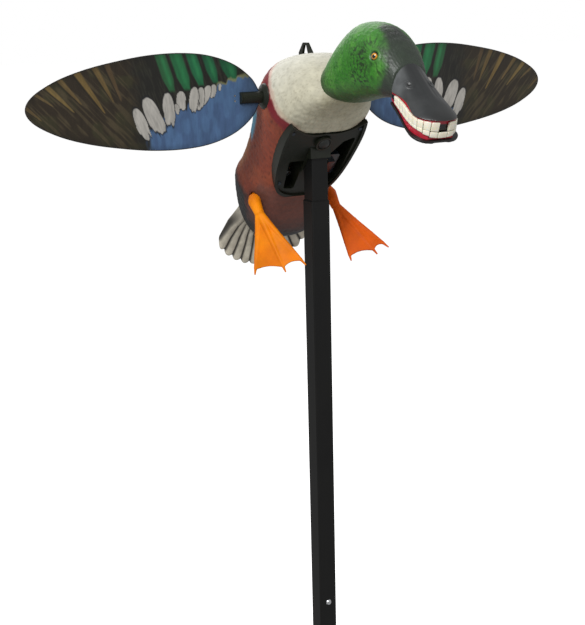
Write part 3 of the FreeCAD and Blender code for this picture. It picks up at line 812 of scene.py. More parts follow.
# ---- body ---------------------------------------------------------------------------------
@dataclass
class Body:
    """Hollow body with moulded feathers, sprayed in zones."""

    relief_mm: float = 0.55
    ripple_mm: float = 0.35
    feather_mm: float = 9.0
    wall_mm: float = 2.0
    hub_hole_r: float = 14.0
    hub_across: float = 40.0
    socket_r: float = 7.0
    socket_deep: float = 25.0
    belly: tuple = ((8, 20, 46, 73, 95, 112, 122), (44, 54.5, 53.5, 50.5, 45.5, 37, 21))
    skin: Skin = field(default_factory=lambda: Skin([
        ((0, -57, -72), (0, -73, -27), 30.5), ((0, -44, -69), (0, -62, 0), 44),
        ((0, -28, -64), (0, -46, 21.5), 55), ((0, -8, -60), (0, -25, 38), 65),
        ((0, 16, -57), (0, 6, 45), 66.5), ((0, 50, -56), (0, 46, 46), 61.5),
        ((0, 90, -57), (0, 90, 42), 57), ((0, 128, -60), (0, 128, 41), 57.5),
        ((0, 148, -63), (0, 150, 43.5), 60.5), ((0, 166, -66), (0, 169, 42), 56.5),
        ((0, 182, -67), (0, 187, 38), 51), ((0, 198, -62), (0, 203, 32), 45),
        ((0, 213, -51), (0, 219, 24), 37), ((0, 225, -37), (0, 230, 14), 27)],
        3.0, 2.6, 1.75, 224))

    def build(self) -> None:
        """Make the body and send it out on the decoy."""
        grid = capped(self.skin.grid(), 4.0, 7.0)
        outward = -normals_of(from_body(grid), True)
        along = np.tile(run_of(grid.mean(axis=1))[:, None], (1, grid.shape[1]))
        height = feather_steps(along, spread_round(grid, 180), self.feather_mm, self.feather_mm)
        ripple = cloud(grid.reshape(-1, 3), 2.2, 3.0).reshape(along.shape)
        fade = smooth(-64, -30, grid[..., 1]) * 0.75 + 0.25
        shift = self.relief_mm * (height * fade - 0.6) + self.ripple_mm * (ripple - 0.5)
        piece = woven("body", from_body(grid) + outward * shift[..., None], wrapped=True)
        self.open_holes(piece)
        finish_modifier(piece, "SOLIDIFY", thickness=self.wall_mm * MM, offset=-1.0)
        self.paint(piece)
        send_out(piece, SPRAYED, "decoy", "body_shell")

    def open_holes(self, piece: bpy.types.Object) -> None:
        """Open the belly, the two hubs and the two leg sockets.

        Args:
            piece: Closed skin of the body.
        """
        spots = points_of(piece)
        across, tail, back = to_body(spots).T
        half = np.interp(tail, *self.belly)
        gone = (back < -30) & (tail > 10) & (tail < 121) & (np.abs(across) < half - 3)
        hub = np.hypot(spots[:, 1] - WING_Y, spots[:, 2] - WING_Z)
        sides = np.abs(across) > self.hub_across
        gone |= (hub < self.hub_hole_r) & sides
        rim = (hub >= self.hub_hole_r) & (hub < self.hub_hole_r + 1.6) & sides
        pull = (self.hub_hole_r / hub[rim])[:, None]
        axle = np.array([WING_Y, WING_Z])
        spots[rim, 1:] = axle + (spots[rim, 1:] - axle) * pull
        for side in (-1, 1):
            root, axis = leg_frame(side)
            offset = spots - root
            away = offset - np.outer(offset @ axis, axis)
            radius = np.linalg.norm(away, axis=1)
            local = np.abs(offset @ axis) < self.socket_deep
            gone |= (radius < self.socket_r) & local
            rim = (radius >= self.socket_r) & (radius < self.socket_r + 1.5) & local
            spots[rim] -= away[rim] * (1 - self.socket_r / radius[rim])[:, None]
        move_points(piece, spots)
        remove_points(piece, gone)

    def paint(self, piece: bpy.types.Object) -> None:
        """Spray the zones: breast, crimson band, flanks, belly, back and undertail, and darken the skin
        round the leg sockets as painted shade.

        Args:
            piece: The body.
        """
        spots = to_body(points_of(piece))
        across, tail, back = spots.T
        blur = sway(spots, (7.0, 0.0, 7), (2.4, 2.0, 3.5))
        canvas = Canvas(len(spots), "#8a3f2a")
        canvas.lay(patches(0.35, 0.75, spots, 14.0, 4.0) * 0.55, "#9c4f31")
        canvas.lay(patches(0.6, 0.85, spots * (1.0, 0.45, 1.0), 1.7, 5.0) * 0.6, "#55241a")
        canvas.lay(band(8, 34, 8, back + blur) * band(34, 135, 14, tail) * 0.6, "#96683a")
        canvas.lay(smooth(24, 36, back + blur) * smooth(40, 60, tail), "#463b2f")
        belly = smooth(30, 42, -back + blur * 0.5) * smooth(100, 122, tail + blur)
        canvas.lay(belly * 0.85, "#6c453c")
        canvas.lay(smooth(150, 185, tail + blur * 1.5) * 0.8, "#4a3a37")
        canvas.lay(smooth(176, 194, tail + blur * 1.2), "#262729")
        canvas.lay(smooth(138, 154, tail + blur) * smooth(-44, -26, back + blur), "#1d2022")
        edge = tail + blur * 0.4 + 2 + 0.32 * back + 16 * smooth(20, 52, np.abs(across))
        canvas.lay(band(0, 14, 2.5, edge), "#7c1d25")
        breast = 1.0 - smooth(-3, 1, edge)
        canvas.lay(breast, "#d8d6c8")
        canvas.lay(band(-6, 0, 2, edge) * 0.7, "#d9b2a6")
        canvas.lay(breast * smooth(-26, 40, -back - 6 + blur) * 0.6, "#b9b293")
        canvas.lay(breast * smooth(52, 76, -back + blur) * 0.65, "#948c68")
        hatch = patches(0.6, 0.85, spots * (1.0, 0.22, 1.0), 1.1, 8.0)
        canvas.lay(breast * hatch * smooth(-40, 10, -back) * 0.3, "#7d745a")
        shoulder = band(34, 78, 5, tail + blur) * band(4, 30, 4, back + blur * 0.6)
        canvas.lay(shoulder * smooth(46, 52, np.abs(across)), "#5b9ab8")
        spine = (1.0 - smooth(24, 34, np.abs(across) + blur)) * smooth(22, 34, back)
        canvas.lay(spine * smooth(-80, -70, tail), "#1d1b18")
        canvas.lay(smooth(30, 40, back) * smooth(0, 16, tail + blur) * 0.85, "#272420")
        # Painted shade: the skin is darkened near each leg socket, where the leg meets the body.
        root = np.minimum(*(np.linalg.norm(points_of(piece) - leg_frame(side)[0], axis=1)
                            for side in (-1, 1)))
        canvas.dim(0.55 + 0.45 * smooth(8, 24, root))
        canvas.write(piece)


def leg_frame(side: int) -> tuple[np.ndarray, np.ndarray]:
    """Find where one leg leaves the body.

    Args:
        side: 1 for the duck's left leg, -1 for its right.

    Returns:
        Root point of the leg's plug in mm, and its outward axis.
    """
    mirror = np.array([side, 1.0, 1.0])
    root = from_body(LEG_ROOT * mirror)
    tip = from_body((np.array(LEG_ROOT) + LEG_AXIS) * mirror)
    return root, (tip - root) / np.linalg.norm(tip - root)


# ---- tail ---------------------------------------------------------------------------------
@dataclass
class Tail:
    """Fan of moulded tail feathers with rounded tips and deep grooves between them."""

    feathers: int = 11
    spread: float = math.radians(46.0)
    hub_tail: float = 185.0
    reach: float = 101.0
    root_mm: float = 26.0
    scallop: float = 4.0
    groove: float = 2.4
    rows: int = 64
    marks: tuple = (214, 235, 249, 258, 268, 283)
    middles: tuple = (6, -1.5, -12.5, -21, -28.5, -39)
    halves: tuple = (12, 8, 5, 3.6, 3.0, 2.4)

    def build(self) -> None:
        """Make the fan and send it out on the decoy."""
        turns = np.linspace(-1, 1, 281)
        place = (turns + 1) / 2 * self.feathers
        off_centre = np.clip(place - np.floor(np.clip(place, 0, self.feathers - 1e-6)), 0, 1) - 0.5
        corner = 1.0 - 0.045 * smooth(0.85, 1.0, np.abs(turns))
        ends = (self.reach - self.scallop * (2 * off_centre) ** 2) * corner
        shares = np.linspace(0, 1, self.rows) ** 0.9
        radius = self.root_mm + (ends[None, :] - self.root_mm) * shares[:, None]
        angle = np.tile(turns * self.spread, (self.rows, 1))
        x = radius * np.sin(angle)
        tail = self.hub_tail + radius * np.cos(angle)
        middle = np.interp(tail, self.marks, self.middles)
        rounding = np.sqrt(np.clip(1.0 - smooth(0.93, 1.0, shares) ** 2, 0, 1))[:, None]
        ridge = np.cos(np.pi * off_centre)[None, :] ** 0.7
        depth = self.groove * (1 - ridge) * smooth(34, 62, radius)
        side_round = np.sqrt(np.clip(1.0 - smooth(0.965, 1.0, np.abs(turns)) ** 2, 0, 1))[None, :]
        half = np.interp(tail, self.marks, self.halves)
        thick = np.maximum((half - depth) * rounding * side_round, 0.0)
        top = from_body(rows_of(x, tail, middle + thick))
        under = from_body(rows_of(x, tail, middle - thick))
        grid = np.concatenate([top, under[:, ::-1]], axis=1)
        piece = woven("tail_fan_feathers", grid, wrapped=True)
        self.paint(piece)
        send_out(piece, SPRAYED, "decoy", "tail_fan")

    def paint(self, piece: bpy.types.Object) -> None:
        """Off-white feathers, dark in the grooves and towards the body.

        Args:
            piece: The fan.
        """
        spots = to_body(points_of(piece))
        across, forward = spots[:, 0], spots[:, 1] - self.hub_tail
        radius = np.hypot(across, forward)
        place = (np.arctan2(across, forward) / self.spread + 1) / 2 * self.feathers
        groove = np.abs(place - np.floor(place) - 0.5) * 2
        canvas = Canvas(len(spots), "#d9d2c0")
        canvas.lay(patches(0.3, 0.8, spots, 6.0) * 0.4, "#a8a08e")
        canvas.lay(smooth(0.5, 0.95, groove) * smooth(40, 70, radius), "#35312a")
        canvas.lay((1 - smooth(30, 56, radius + 8 * cloud(spots, 6.0, 2.0))) * 0.9, "#33322e")
        middle = (1 - smooth(8, 22, np.abs(across))) * (1 - smooth(70, 92, radius))
        canvas.lay(middle * 0.6, "#3a3834")
        canvas.write(piece)


# ---- head ---------------------------------------------------------------------------------
@dataclass
class Head:
    """Green head with fine moulded feathers, and its two eyes."""

    relief_mm: float = 0.4
    ripple_mm: float = 0.4
    feather_mm: tuple[float, float] = (6.0, 5.0)
    eye: tuple[float, float, float] = (26.2, -184.0, 49.0)
    eye_r: float = 4.6
    eye_sunk: float = 0.4
    gaze: tuple[float, float, float] = (0.86, -0.5, 0.05)
    skin: Skin = field(default_factory=lambda: Skin([
        ((0, -86, -4), (0, -66, 36), 32), ((0, -101, -5), (0, -88, 55.5), 34.5),
        ((0, -119, -3), (0, -111.5, 73), 36.5), ((0, -140, 1), (0, -136, 84), 37),
        ((0, -160, 4), (0, -165, 80), 35), ((0, -180, 5), (0, -188, 67), 30.5),
        ((0, -196, 5), (0, -202, 54), 25.5), ((0, -205, 4), (0, -212, 42), 21.5)],
        2.3, 2.3, 1.1, 220))

    def build(self) -> None:
        """Make the head and the eyes and send them out on the decoy."""
        grid = capped(self.skin.grid(), 8.0, 3.0)
        outward = -normals_of(grid, True)
        flat = grid.reshape(-1, 3)
        along = -flat[:, 1] * 0.9 + flat[:, 2] * 0.25
        ring = spread_round(grid, 110).ravel()
        steps = feather_steps(-along, ring, *self.feather_mm)
        shift = self.relief_mm * (steps - 0.6) + self.ripple_mm * (cloud(flat, 2.0, 7.0) - 0.5)
        away = np.linalg.norm(np.abs(flat * (1, 0, 0)) + flat * (0, 1, 1) - self.eye, axis=1)
        socket = -1.3 * (1 - smooth(3.5, 7.5, away)) + 0.8 * band(5.5, 8.0, 1.0, away)
        shift = shift * smooth(5, 9, away) + socket
        placed = flat + outward.reshape(-1, 3) * shift[:, None] + LEVEL
        piece = woven("head", placed.reshape(grid.shape), wrapped=True)
        self.paint(piece)
        send_out(piece, LACQUERED, "decoy", "head_shell")
        for side, name in ((-1, "right_eye"), (1, "left_eye")):
            self.make_eye(side, name)

    def make_eye(self, side: int, node: str) -> None:
        """Amber eye with a black pupil, turned outwards and a little forwards.

        Args:
            side: 1 for the duck's left eye, -1 for its right.
            node: Node that it stands for.
        """
        centre = np.array([side * (self.eye[0] - self.eye_sunk), *self.eye[1:]]) + LEVEL
        piece = ball(centre, self.eye_r, 48)
        piece.name = piece.data.name = node + "_ball"
        spots = points_of(piece)
        look = np.array(self.gaze) * (side, 1.0, 1.0)
        turn = (spots - centre) @ (look / np.linalg.norm(look)) / self.eye_r
        canvas = Canvas(len(spots), "#140f08")
        canvas.lay(smooth(0.62, 0.72, turn), "#d98a10")
        canvas.lay(smooth(0.75, 0.88, turn + 0.1 * cloud(spots, 0.8)), "#e7a31c")
        canvas.lay(smooth(0.885, 0.9, turn), "#060606")
        canvas.write(piece)
        shade_round(piece)
        send_out(piece, EYE, "decoy", node)

    def paint(self, piece: bpy.types.Object) -> None:
        """Green, darker round the neck, with a charcoal face and hatching behind the eye.

        Args:
            piece: The head.
        """
        spots = points_of(piece) - LEVEL
        side, forward, up = np.abs(spots[:, 0]), -spots[:, 1], spots[:, 2]
        blur = sway(spots, (8.0, 0.0, 14), (2.5, 2.0, 7))
        canvas = Canvas(len(spots), "#378020")
        canvas.lay(patches(0.4, 0.8, spots, 11.0, 4.0) * 0.55, "#559a34")
        canvas.lay(patches(0.55, 0.85, spots * (1, 0.5, 1), 1.5, 3.0) * 0.6, "#1f5a18")
        canvas.lay((1 - smooth(80, 100, forward + blur * 0.4 + up * 0.15)) * 0.7, "#23401c")
        canvas.lay((1 - smooth(2, 22, up + blur * 0.5)) * 0.8, "#2c4420")
        face = smooth(-12, 20, forward - 158 - np.clip(side - 6, 0, 40) * 1.85 + blur * 1.3
                      + np.clip(30 - up, 0, 40) * 0.8 * smooth(178, 192, forward))
        canvas.lay(face * 0.94, "#2f3130")
        canvas.lay(face * smooth(56, 80, up) * 0.8, "#1a1b1b")
        hatch = rows_of(forward * 0.25 + up * 0.9, forward * 0.9 - up * 0.2)
        cheek = band(146, 176, 7, forward) * band(14, 62, 8, up) * smooth(20, 27, side)
        canvas.lay(cheek * patches(0.5, 0.72, hatch, 1.4, 9.0) * 0.85, "#182416")
        away = np.linalg.norm(rows_of(side, -forward, up) - self.eye, axis=1)
        turn = np.arctan2(up - self.eye[2], forward + self.eye[1])
        rays = patches(0.5, 0.72, rows_of(turn * 14.0, away * 0.14), 1.0, 6.0)
        canvas.lay(band(8, 24, 5, away) * rays * smooth(16, 24, side) * 0.7, "#162012")
        canvas.lay(band(3.6, 5.6, 0.6, away), "#1a1a14")
        canvas.write(piece)


# ---- bill ---------------------------------------------------------------------------------
class Row(Enum):
    """The two rows of teeth, with the way that each one grows from its gum."""

    UPPER = -1
    LOWER = 1


@dataclass
class Mouth:
    """U-shaped line that the teeth stand on, with the lips above and below it."""

    half_width: float = 26.0
    straight: float = -240.0
    front: float = -272.5
    power: float = 2.7
    lean: float = 0.37
    lean_level: float = -22.0
    teeth_each_side: int = 10
    front_tooth: float = 11.0
    back_tooth: float = 5.2
    tooth_gap: float = 0.5
    tooth_deep: float = 3.0
    narrowing: tuple = ((-240, -225, -212, -200), (1.0, 0.95, 0.88, 0.84))
    upper_lip: tuple = ((-188, 19), (-204, 14), (-224, 9), (-237, 3.5), (-246, -3), (-253, -7.5),
                        (-261, -10.5), (-271, -13), (-292, -15))
    lower_lip: tuple = ((-188, 17.5), (-204, 5.5), (-214, -1), (-226, -9.5), (-238, -18), (-250, -25),
                        (-261, -30.5), (-271, -36.5), (-292, -47))

    def line(self) -> tuple[np.ndarray, np.ndarray]:
        """Draw the duck's left half of the mouth line.

        Returns:
            Distance from the front, and the point at each distance.
        """
        turn = np.linspace(0, math.pi / 2, 200)
        x = self.half_width * np.sin(turn) ** (2 / self.power)
        y = self.straight + (self.front - self.straight) * np.cos(turn) ** (2 / self.power)
        back = np.linspace(self.straight + 0.5, -190.0, 60)
        x = np.concatenate([x, np.full(len(back), self.half_width)])
        y = np.concatenate([y, back])
        points = rows_of(x * np.interp(y, *self.narrowing), y)
        return np.concatenate([[0], np.cumsum(np.hypot(*np.diff(points, axis=0).T))]), points

    def at(self, distance: float) -> tuple[np.ndarray, np.ndarray]:
        """Find a place on the line.

        Args:
            distance: Distance from the front, below 0 on the duck's right side.

        Returns:
            The point there, and the direction outwards.
        """
        run, points = self.line()
        sign = math.copysign(1.0, distance)
        here, ahead = at_distances(points, run, abs(distance) + np.array([0.0, 0.8]))
        along = (ahead - here) / np.linalg.norm(ahead - here)
        return here * (sign, 1.0), np.array([-along[1] * -sign, -along[0]])

    def lips(self, y: np.ndarray) -> tuple[np.ndarray, np.ndarray]:
        """Heights of the lower and the upper lip at a distance forwards."""
        low, high = (np.array(lip[::-1], float) for lip in (self.lower_lip, self.upper_lip))
        return np.interp(y, low[:, 0], low[:, 1]), np.interp(y, high[:, 0], high[:, 1])

    def teeth(self, row: Row, name: str) -> bpy.types.Object:
        """Model one row of rounded teeth; the upper row's middle one is missing.

        Args:
            row: Which row.
            name: Name of the piece.

        Returns:
            The row as one piece.
        """
        places = [(0.0, self.front_tooth)] if row is Row.LOWER else []
        reach = (self.front_tooth + self.tooth_gap) / 2
        for place in range(1, self.teeth_each_side + 1):
            width = self.back_tooth + 5.8 * math.exp(-place / 2.2)
            places += [(side * (reach + (width + self.tooth_gap) / 2), width) for side in (-1, 1)]
            reach += width + self.tooth_gap
        return joined([self.tooth(row, middle, width) for middle, width in places], name)

    def tooth(self, row: Row, middle: float, width: float) -> bpy.types.Object:
        """Model one tooth: a block whose ends follow the lip, with soft edges.

        Args:
            row: Row that it stands in.
            middle: Distance of its middle from the front.
            width: Its width in mm.

        Returns:
            The tooth.
        """
        deselect()
        bpy.ops.mesh.primitive_cube_add(size=1.0)
        piece = bpy.context.object
        spots = points_of(piece) * MM
        root, tall = 0.08, 0.4
        if row is Row.LOWER:
            sideways = float(smooth(8, 30, np.array(abs(middle))))
            root, tall = 0.25 + 0.1 * sideways, 0.25 - 0.05 * sideways
        for index, (along, deep, high) in enumerate(spots):
            point, out = self.at(middle + along * width)
            start, end = self.lips(point[1])[::row.value]
            z = start + (end - start) * (root + tall * (0.5 + row.value * high))
            flat = point + out * (0.5 if deep < 0 else -self.tooth_deep)
            lean = (self.lean_level - z) * self.lean * max(-out[1], 0.0)
            spots[index] = (flat[0], flat[1] + lean, z + WING_Z)
        move_points(piece, spots)
        finish_modifier(piece, "BEVEL", width=min(0.9, width * 0.16) * MM, segments=3,
                        affect="EDGES", limit_method="NONE")
        shade_round(piece)
        return piece

    def seat_gums(self, piece: bpy.types.Object) -> None:
        """Draw the gums in behind the teeth, which stand a little proud of them.

        Args:
            piece: The gums.
        """
        spots = points_of(piece)
        lean = (self.lean_level - (spots[:, 2] - WING_Z)) * self.lean
        inner, deep = self.half_width - 1.0, self.straight - self.front - 1.0
        forward = np.clip((self.straight - (spots[:, 1] - lean)) / deep, 0, None)
        over = (np.abs(spots[:, 0]) / inner) ** self.power + forward ** self.power
        pull = np.where((over > 1) & (forward > 0), over ** (-1 / self.power), 1.0)
        spots[:, 0] *= pull
        spots[:, 1] = np.where(forward > 0, self.straight + lean - forward * pull * deep, spots[:, 1])
        move_points(piece, spots)

    def paint_gums(self, piece: bpy.types.Object) -> None:
        """Red along both lips, and black between the rows of teeth as painted shade for the dark inside
        of the mouth.

        Args:
            piece: The gums.
        """
        spots = points_of(piece)
        low_z, high_z = self.lips(spots[:, 1])
        share = (spots[:, 2] - WING_Z - low_z) / np.maximum(high_z - low_z, 1.0)
        canvas = Canvas(len(spots), "#b8122a")
        canvas.lay(patches(0.4, 0.8, spots, 3.0) * 0.4, "#d2344a")
        # Painted shade: black between the rows of teeth stands for the dark inside of the mouth.
        canvas.lay(band(0.34, 0.82, 0.04, share), "#0d0a0a")
        canvas.write(piece)


@dataclass
class Bill:
    """Wide bill: upper half with nostrils, thin lower lip, gums and two rows of teeth."""

    upper_voxel_mm: float = 0.75
    fine_voxel_mm: float = 0.6
    nostril: tuple[float, float, float] = (13.0, -226.0, 20.0)
    nostril_stretch: tuple[float, float, float] = (1.0, 0.55, 1.0)
    mouth: Mouth = field(default_factory=Mouth)

    def build(self) -> None:
        """Make the halves of the bill, the gums and the teeth."""
        upper = copy_of_node("upper_bill", "bill_upper_half")
        softened(upper, self.upper_voxel_mm, 8)
        self.shape_upper(upper)
        self.paint_upper(upper)
        send_out(upper, BILL_PAINT, "decoy", "upper_bill")
        lower = copy_of_node("lower_bill", "bill_lower_lip")
        softened(lower, self.fine_voxel_mm, 5)
        Canvas(len(lower.data.vertices), "#161515").write(lower)
        send_out(lower, BILL_PAINT, "decoy", "lower_bill")
        gums = copy_of_node("gums", "gum_ridge")
        softened(gums, self.fine_voxel_mm, 3)
        self.mouth.seat_gums(gums)
        self.mouth.paint_gums(gums)
        send_out(gums, GUM_PAINT, "decoy", "gums")
        for row, node in ((Row.UPPER, "upper_teeth"), (Row.LOWER, "lower_teeth")):
            teeth = self.mouth.teeth(row, node + "_row")
            send_out(teeth, ENAMEL, "decoy", node)

    def from_nostril(self, place: np.ndarray) -> np.ndarray:
        """Measure how far points are from the nearest nostril, less along its length.

        Args:
            place: Positions in mm from the wing axis' level.

        Returns:
            The distance of each point.
        """
        folded = rows_of(np.abs(place[:, 0]), place[:, 1], place[:, 2])
        return np.linalg.norm((folded - self.nostril) * self.nostril_stretch, axis=1)

    def shape_upper(self, piece: bpy.types.Object) -> None:
        """Press in the nostrils and flute the sides.

        Args:
            piece: Upper half of the bill.
        """
        spots = points_of(piece)
        place = spots - LEVEL
        normal = mesh_normals(piece)
        away = self.from_nostril(place)
        shift = -1.6 * (1 - smooth(1.2, 3.2, away)) + 0.6 * band(3.2, 5.0, 0.8, away)
        flank = band(6, 16, 3, np.abs(place[:, 0])) * band(-250, -214, 8, place[:, 1])
        shift -= 1.1 * flank * smooth(0.2, 0.6, normal[:, 2])
        move_points(piece, spots + normal * shift[:, None])

    def paint_upper(self, piece: bpy.types.Object) -> None:
        """Dark grey with a paler base, a painted highlight along each side, a dark tip, and deep red
        under the lip.

        Args:
            piece: Upper half of the bill.
        """
        place = points_of(piece) - LEVEL
        side, forward, up = np.abs(place[:, 0]), -place[:, 1], place[:, 2]
        blur = sway(place, (6.0, 0.0, 10))
        canvas = Canvas(len(place), "#2c2e2f")
        facet = (1 - smooth(222, 236, forward + blur * 0.4 + (up - 10) * 0.3)) * smooth(6, 14, side)
        canvas.lay(facet * 0.75, "#66696a")
        # Painted highlight: a soft paler band along each side of the bill towards the front.
        canvas.lay(band(232, 262, 8, forward + blur) * smooth(10, 20, side) * 0.4, "#4c4e4f")
        canvas.lay(patches(0.4, 0.8, place, 9.0, 2.0) * 0.35, "#2c2e2f")
        canvas.lay(smooth(262, 272, forward + blur * 0.3) * 0.6, "#2a2a2a")
        canvas.lay((1 - smooth(1.2, 3.0, self.from_nostril(place))) * 0.9, "#161616")
        canvas.lay(smooth(0.3, 0.7, -mesh_normals(piece)[:, 2]) * 0.9, "#8c1520")
        canvas.write(piece)


# ---- wings --------------------------------------------------------------------------------
@dataclass
class Wing:
    """One spinning wing: a cambered sheet, white behind, with feathers printed on its front."""

    side: int
    name: str
    camber_r: float = 1200.0
    thick: float = 0.8
    print_mm: float = 0.1
    margin: float = 0.15
    knot_steps: int = 40
    edge: tuple = ((72, 8), (82, 23.5), (104, 40), (135, 51), (170, 55), (210, 53.8), (250, 48.2),
                   (285, 41), (315, 31.5), (338, 20), (350, 10), (354, 0))
    bars: tuple = ((111, 9.5, 21, "#1a5a3a"), (134, 6.5, 19, "#1c5c3c"), (153, 6.5, 17, "#1e6440"),
                   (172, 7.5, 13, "#22663e"), (191, 6.5, 12, "#285c38"))
    streaks: tuple = ((244, 4, 262, 54, 7.5, "#54432c"), (253, 3, 277, 50, 8.0, "#6b5733"),
                      (264, -8, 298, 44, 8.5, "#7a6438"), (290, 3, 318, 36, 6.5, "#6e5a36"),
                      (299, -5, 334, 30, 6.5, "#7d683c"), (322, 3, 346, 20, 4.0, "#6c5a38"),
                      (336, -12, 354, 4, 4.0, "#665434"))
    tips: tuple = ((123, 14, 4.5, 1.8, -12), (132, 10, 8, 4.2, -18), (141, 6, 12, 5.2, -24),
                   (149, 2, 13.5, 5.5, -14), (156, 2, 14, 6.0, -6), (172, 1.5, 10.5, 6.0, 2),
                   (178, -8, 6, 3.0, 12), (188, -8.5, 19.5, 7.2, 4), (207, -14, 23, 8.8, 24),
                   (222, -22, 19, 6.6, 22))

    def outline(self, columns: int) -> tuple[np.ndarray, np.ndarray]:
        """Draw the upper half of the blade's edge, crowded towards the tip.

        Args:
            columns: Number of points.

        Returns:
            Distance out and half chord at each point.
        """
        knots = np.array(self.edge, float)
        fine = spline(knots, 2 * knots[0] - knots[1], knots[-2] * (1, -1), self.knot_steps)
        run = run_of(fine)
        even = at_distances(fine, run, np.linspace(0, run[-1], columns))
        return even[:, 0], np.maximum(even[:, 1], 0.0)

    def surface(self, columns: int, rows: int, lift: float, shrink: float) -> np.ndarray:
        """Lay points over the cambered face.

        Args:
            columns: Points along the blade.
            rows: Points across it.
            lift: Distance towards the front, in mm.
            shrink: Margin inside the blade's edge, in mm.

        Returns:
            Points in rows and columns.
        """
        out, half = self.outline(columns)
        rise = np.outer(np.linspace(-1, 1, rows), np.maximum(half - shrink, 0))
        x = self.side * np.tile(np.where(half > shrink, out, out - shrink), (rows, 1))
        y = WING_Y + rise ** 2 / (2 * self.camber_r) - lift
        return rows_of(x, y, WING_Z + rise)

    def build(self) -> None:
        """Make the sheet and its printed face."""
        level = self.print_mm / 2 - self.thick / 2
        sheet = woven(self.name + "_wing_sheet", self.surface(120, 41, level, 0.0))
        self.face_front(sheet)
        finish_modifier(sheet, "SOLIDIFY", thickness=(self.thick - self.print_mm) * MM, offset=1.0)
        pick(sheet)
        bpy.ops.object.shade_smooth_by_angle(angle=math.radians(50))
        film = woven(self.name + "_wing_print",
                     self.surface(400, 160, self.thick / 2, self.margin))
        self.face_front(film)
        self.paint(film)
        body = self.name + "_wing"
        send_out(sheet, COIL_WHITE, body, body + "_blade")
        send_out(film, PRINT, body)

    @staticmethod
    def face_front(piece: bpy.types.Object) -> None:
        """Turn an open sheet's faces to the front."""
        if mesh_normals(piece)[:, 1].mean() > 0:
            edit_all(piece, bpy.ops.mesh.flip_normals)

    def paint(self, piece: bpy.types.Object) -> None:
        """Print the front: blue coverts, white tips, green bars, black and tan flight feathers.

        Args:
            piece: The printed face.
        """
        spots = points_of(piece)
        out, up = np.abs(spots[:, 0]), spots[:, 2] - WING_Z
        flat = rows_of(out, up)
        jag = sway(rows_of(out, up * 0.3), (3.2, 1.0, 12))
        canvas = Canvas(len(spots), "#1e1d19")
        canvas.lay(patches(0.55, 0.8, rows_of(out - 0.3 * up, up * 0.12), 1.5, 2.0) * 0.5, "#35352c")
        canvas.lay(smooth(212, 246, out + sway(flat, (9.0, 0.0, 14))), "#2e261b")
        canvas.lay(smooth(205, 240, out) * patches(0.45, 0.75, flat, 13.0, 7.0) * 0.5, "#3a3a22")
        slanted = patches(0.5, 0.8, rows_of(out - up * 0.9, (out + up) * 0.07), 2.2, 4.0)
        canvas.lay(smooth(215, 250, out) * slanted * 0.7, "#4d4330")
        self.green_bars(canvas, out, up)
        self.tan_streaks(canvas, out, up)
        covert = 26 - np.clip(out - 92, 0, 60) * 0.36 - np.clip(out - 140, 0, 90) * 0.45
        blue = smooth(-1.5, 1.5, covert - up + jag * 0.8)
        blue = blue * (1 - smooth(212, 224, out - up * 0.15 + jag * 0.5))
        fringe = band(-4, 3, 1.5, up - covert - jag * 0.7) * (1 - smooth(118, 150, out))
        canvas.lay(fringe * 0.55, "#9a9a70")
        canvas.lay(blue, "#4e6c93")
        veins = patches(0.45, 0.75, rows_of(out * 0.8, up * 0.25), 4.0, 6.0)
        canvas.lay(blue * veins * 0.6, "#435a80")
        canvas.lay(blue * (1 - smooth(78, 104, out)) * 0.55, "#37475c")
        self.white_tips(canvas, out, up)
        rim = self.distance_to_rim(out, up)
        canvas.lay(1 - smooth(0.6, 1.5, rim), "#15151a")
        canvas.dim(0.72 + 0.28 * smooth(0, 9, rim))
        canvas.write(piece)

    def distance_to_rim(self, out: np.ndarray, up: np.ndarray) -> np.ndarray:
        """Measure roughly how far points are from the blade's edge.

        Args:
            out: Distance of each point from the duck's middle.
            up: Height of each point from the wing axis.

        Returns:
            The distance of each point in mm.
        """
        distance, half = self.outline(400)
        room = np.interp(out, distance, half) - np.abs(up)
        slope = np.abs(np.interp(out, distance, np.gradient(half, np.maximum(distance, 1e-6))))
        return room / np.sqrt(1 + np.minimum(slope, 6.0) ** 2)

    def green_bars(self, canvas: Canvas, out: np.ndarray, up: np.ndarray) -> None:
        """Five slanted green bars on black, below the leading edge near the root.

        Args:
            canvas: Colours of the printed face.
            out: Distance of each point from the duck's middle.
            up: Height of each point from the wing axis.
        """
        for middle, half, foot, shade in self.bars:
            centre = middle + (up - 40) * 0.3
            wide = half * (0.55 + 0.45 * smooth(foot, foot + 16, up))
            bar = band(-1, 1, 0.18, (out - centre) / wide) * smooth(foot - 2, foot + 3, up)
            canvas.lay(bar * 0.95, shade)
            sheen = band(-0.5, 0.15, 0.35, (out - centre) / wide) * smooth(foot, foot + 12, up)
            canvas.lay(sheen * bar * 0.45, "#2f8a52")

    def tan_streaks(self, canvas: Canvas, out: np.ndarray, up: np.ndarray) -> None:
        """Tan edges of the flight feathers, each tapering down and inwards.

        Args:
            canvas: Colours of the printed face.
            out: Distance of each point from the duck's middle.
            up: Height of each point from the wing axis.
        """
        for foot_x, foot_z, head_x, head_z, wide, shade in self.streaks:
            run = np.array([head_x - foot_x, head_z - foot_z], float)
            length = np.linalg.norm(run)
            run = run / length
            along = (out - foot_x) * run[0] + (up - foot_z) * run[1]
            across = (out - foot_x) * run[1] - (up - foot_z) * run[0]
            half = wide * 0.5 * np.clip(along / length, 0, 1) ** 0.6 + 0.2
            streak = band(-1, 1, 0.25, across / half) * smooth(-1, 2, along)
            strands = cloud(rows_of(across, along * 0.08), 1.2, foot_x)
            canvas.lay(streak * (0.55 + 0.4 * strands), shade)
            canvas.lay(band(0.75, 1.35, 0.2, across / half) * smooth(2, 8, along) * 0.8, "#1d1a14")

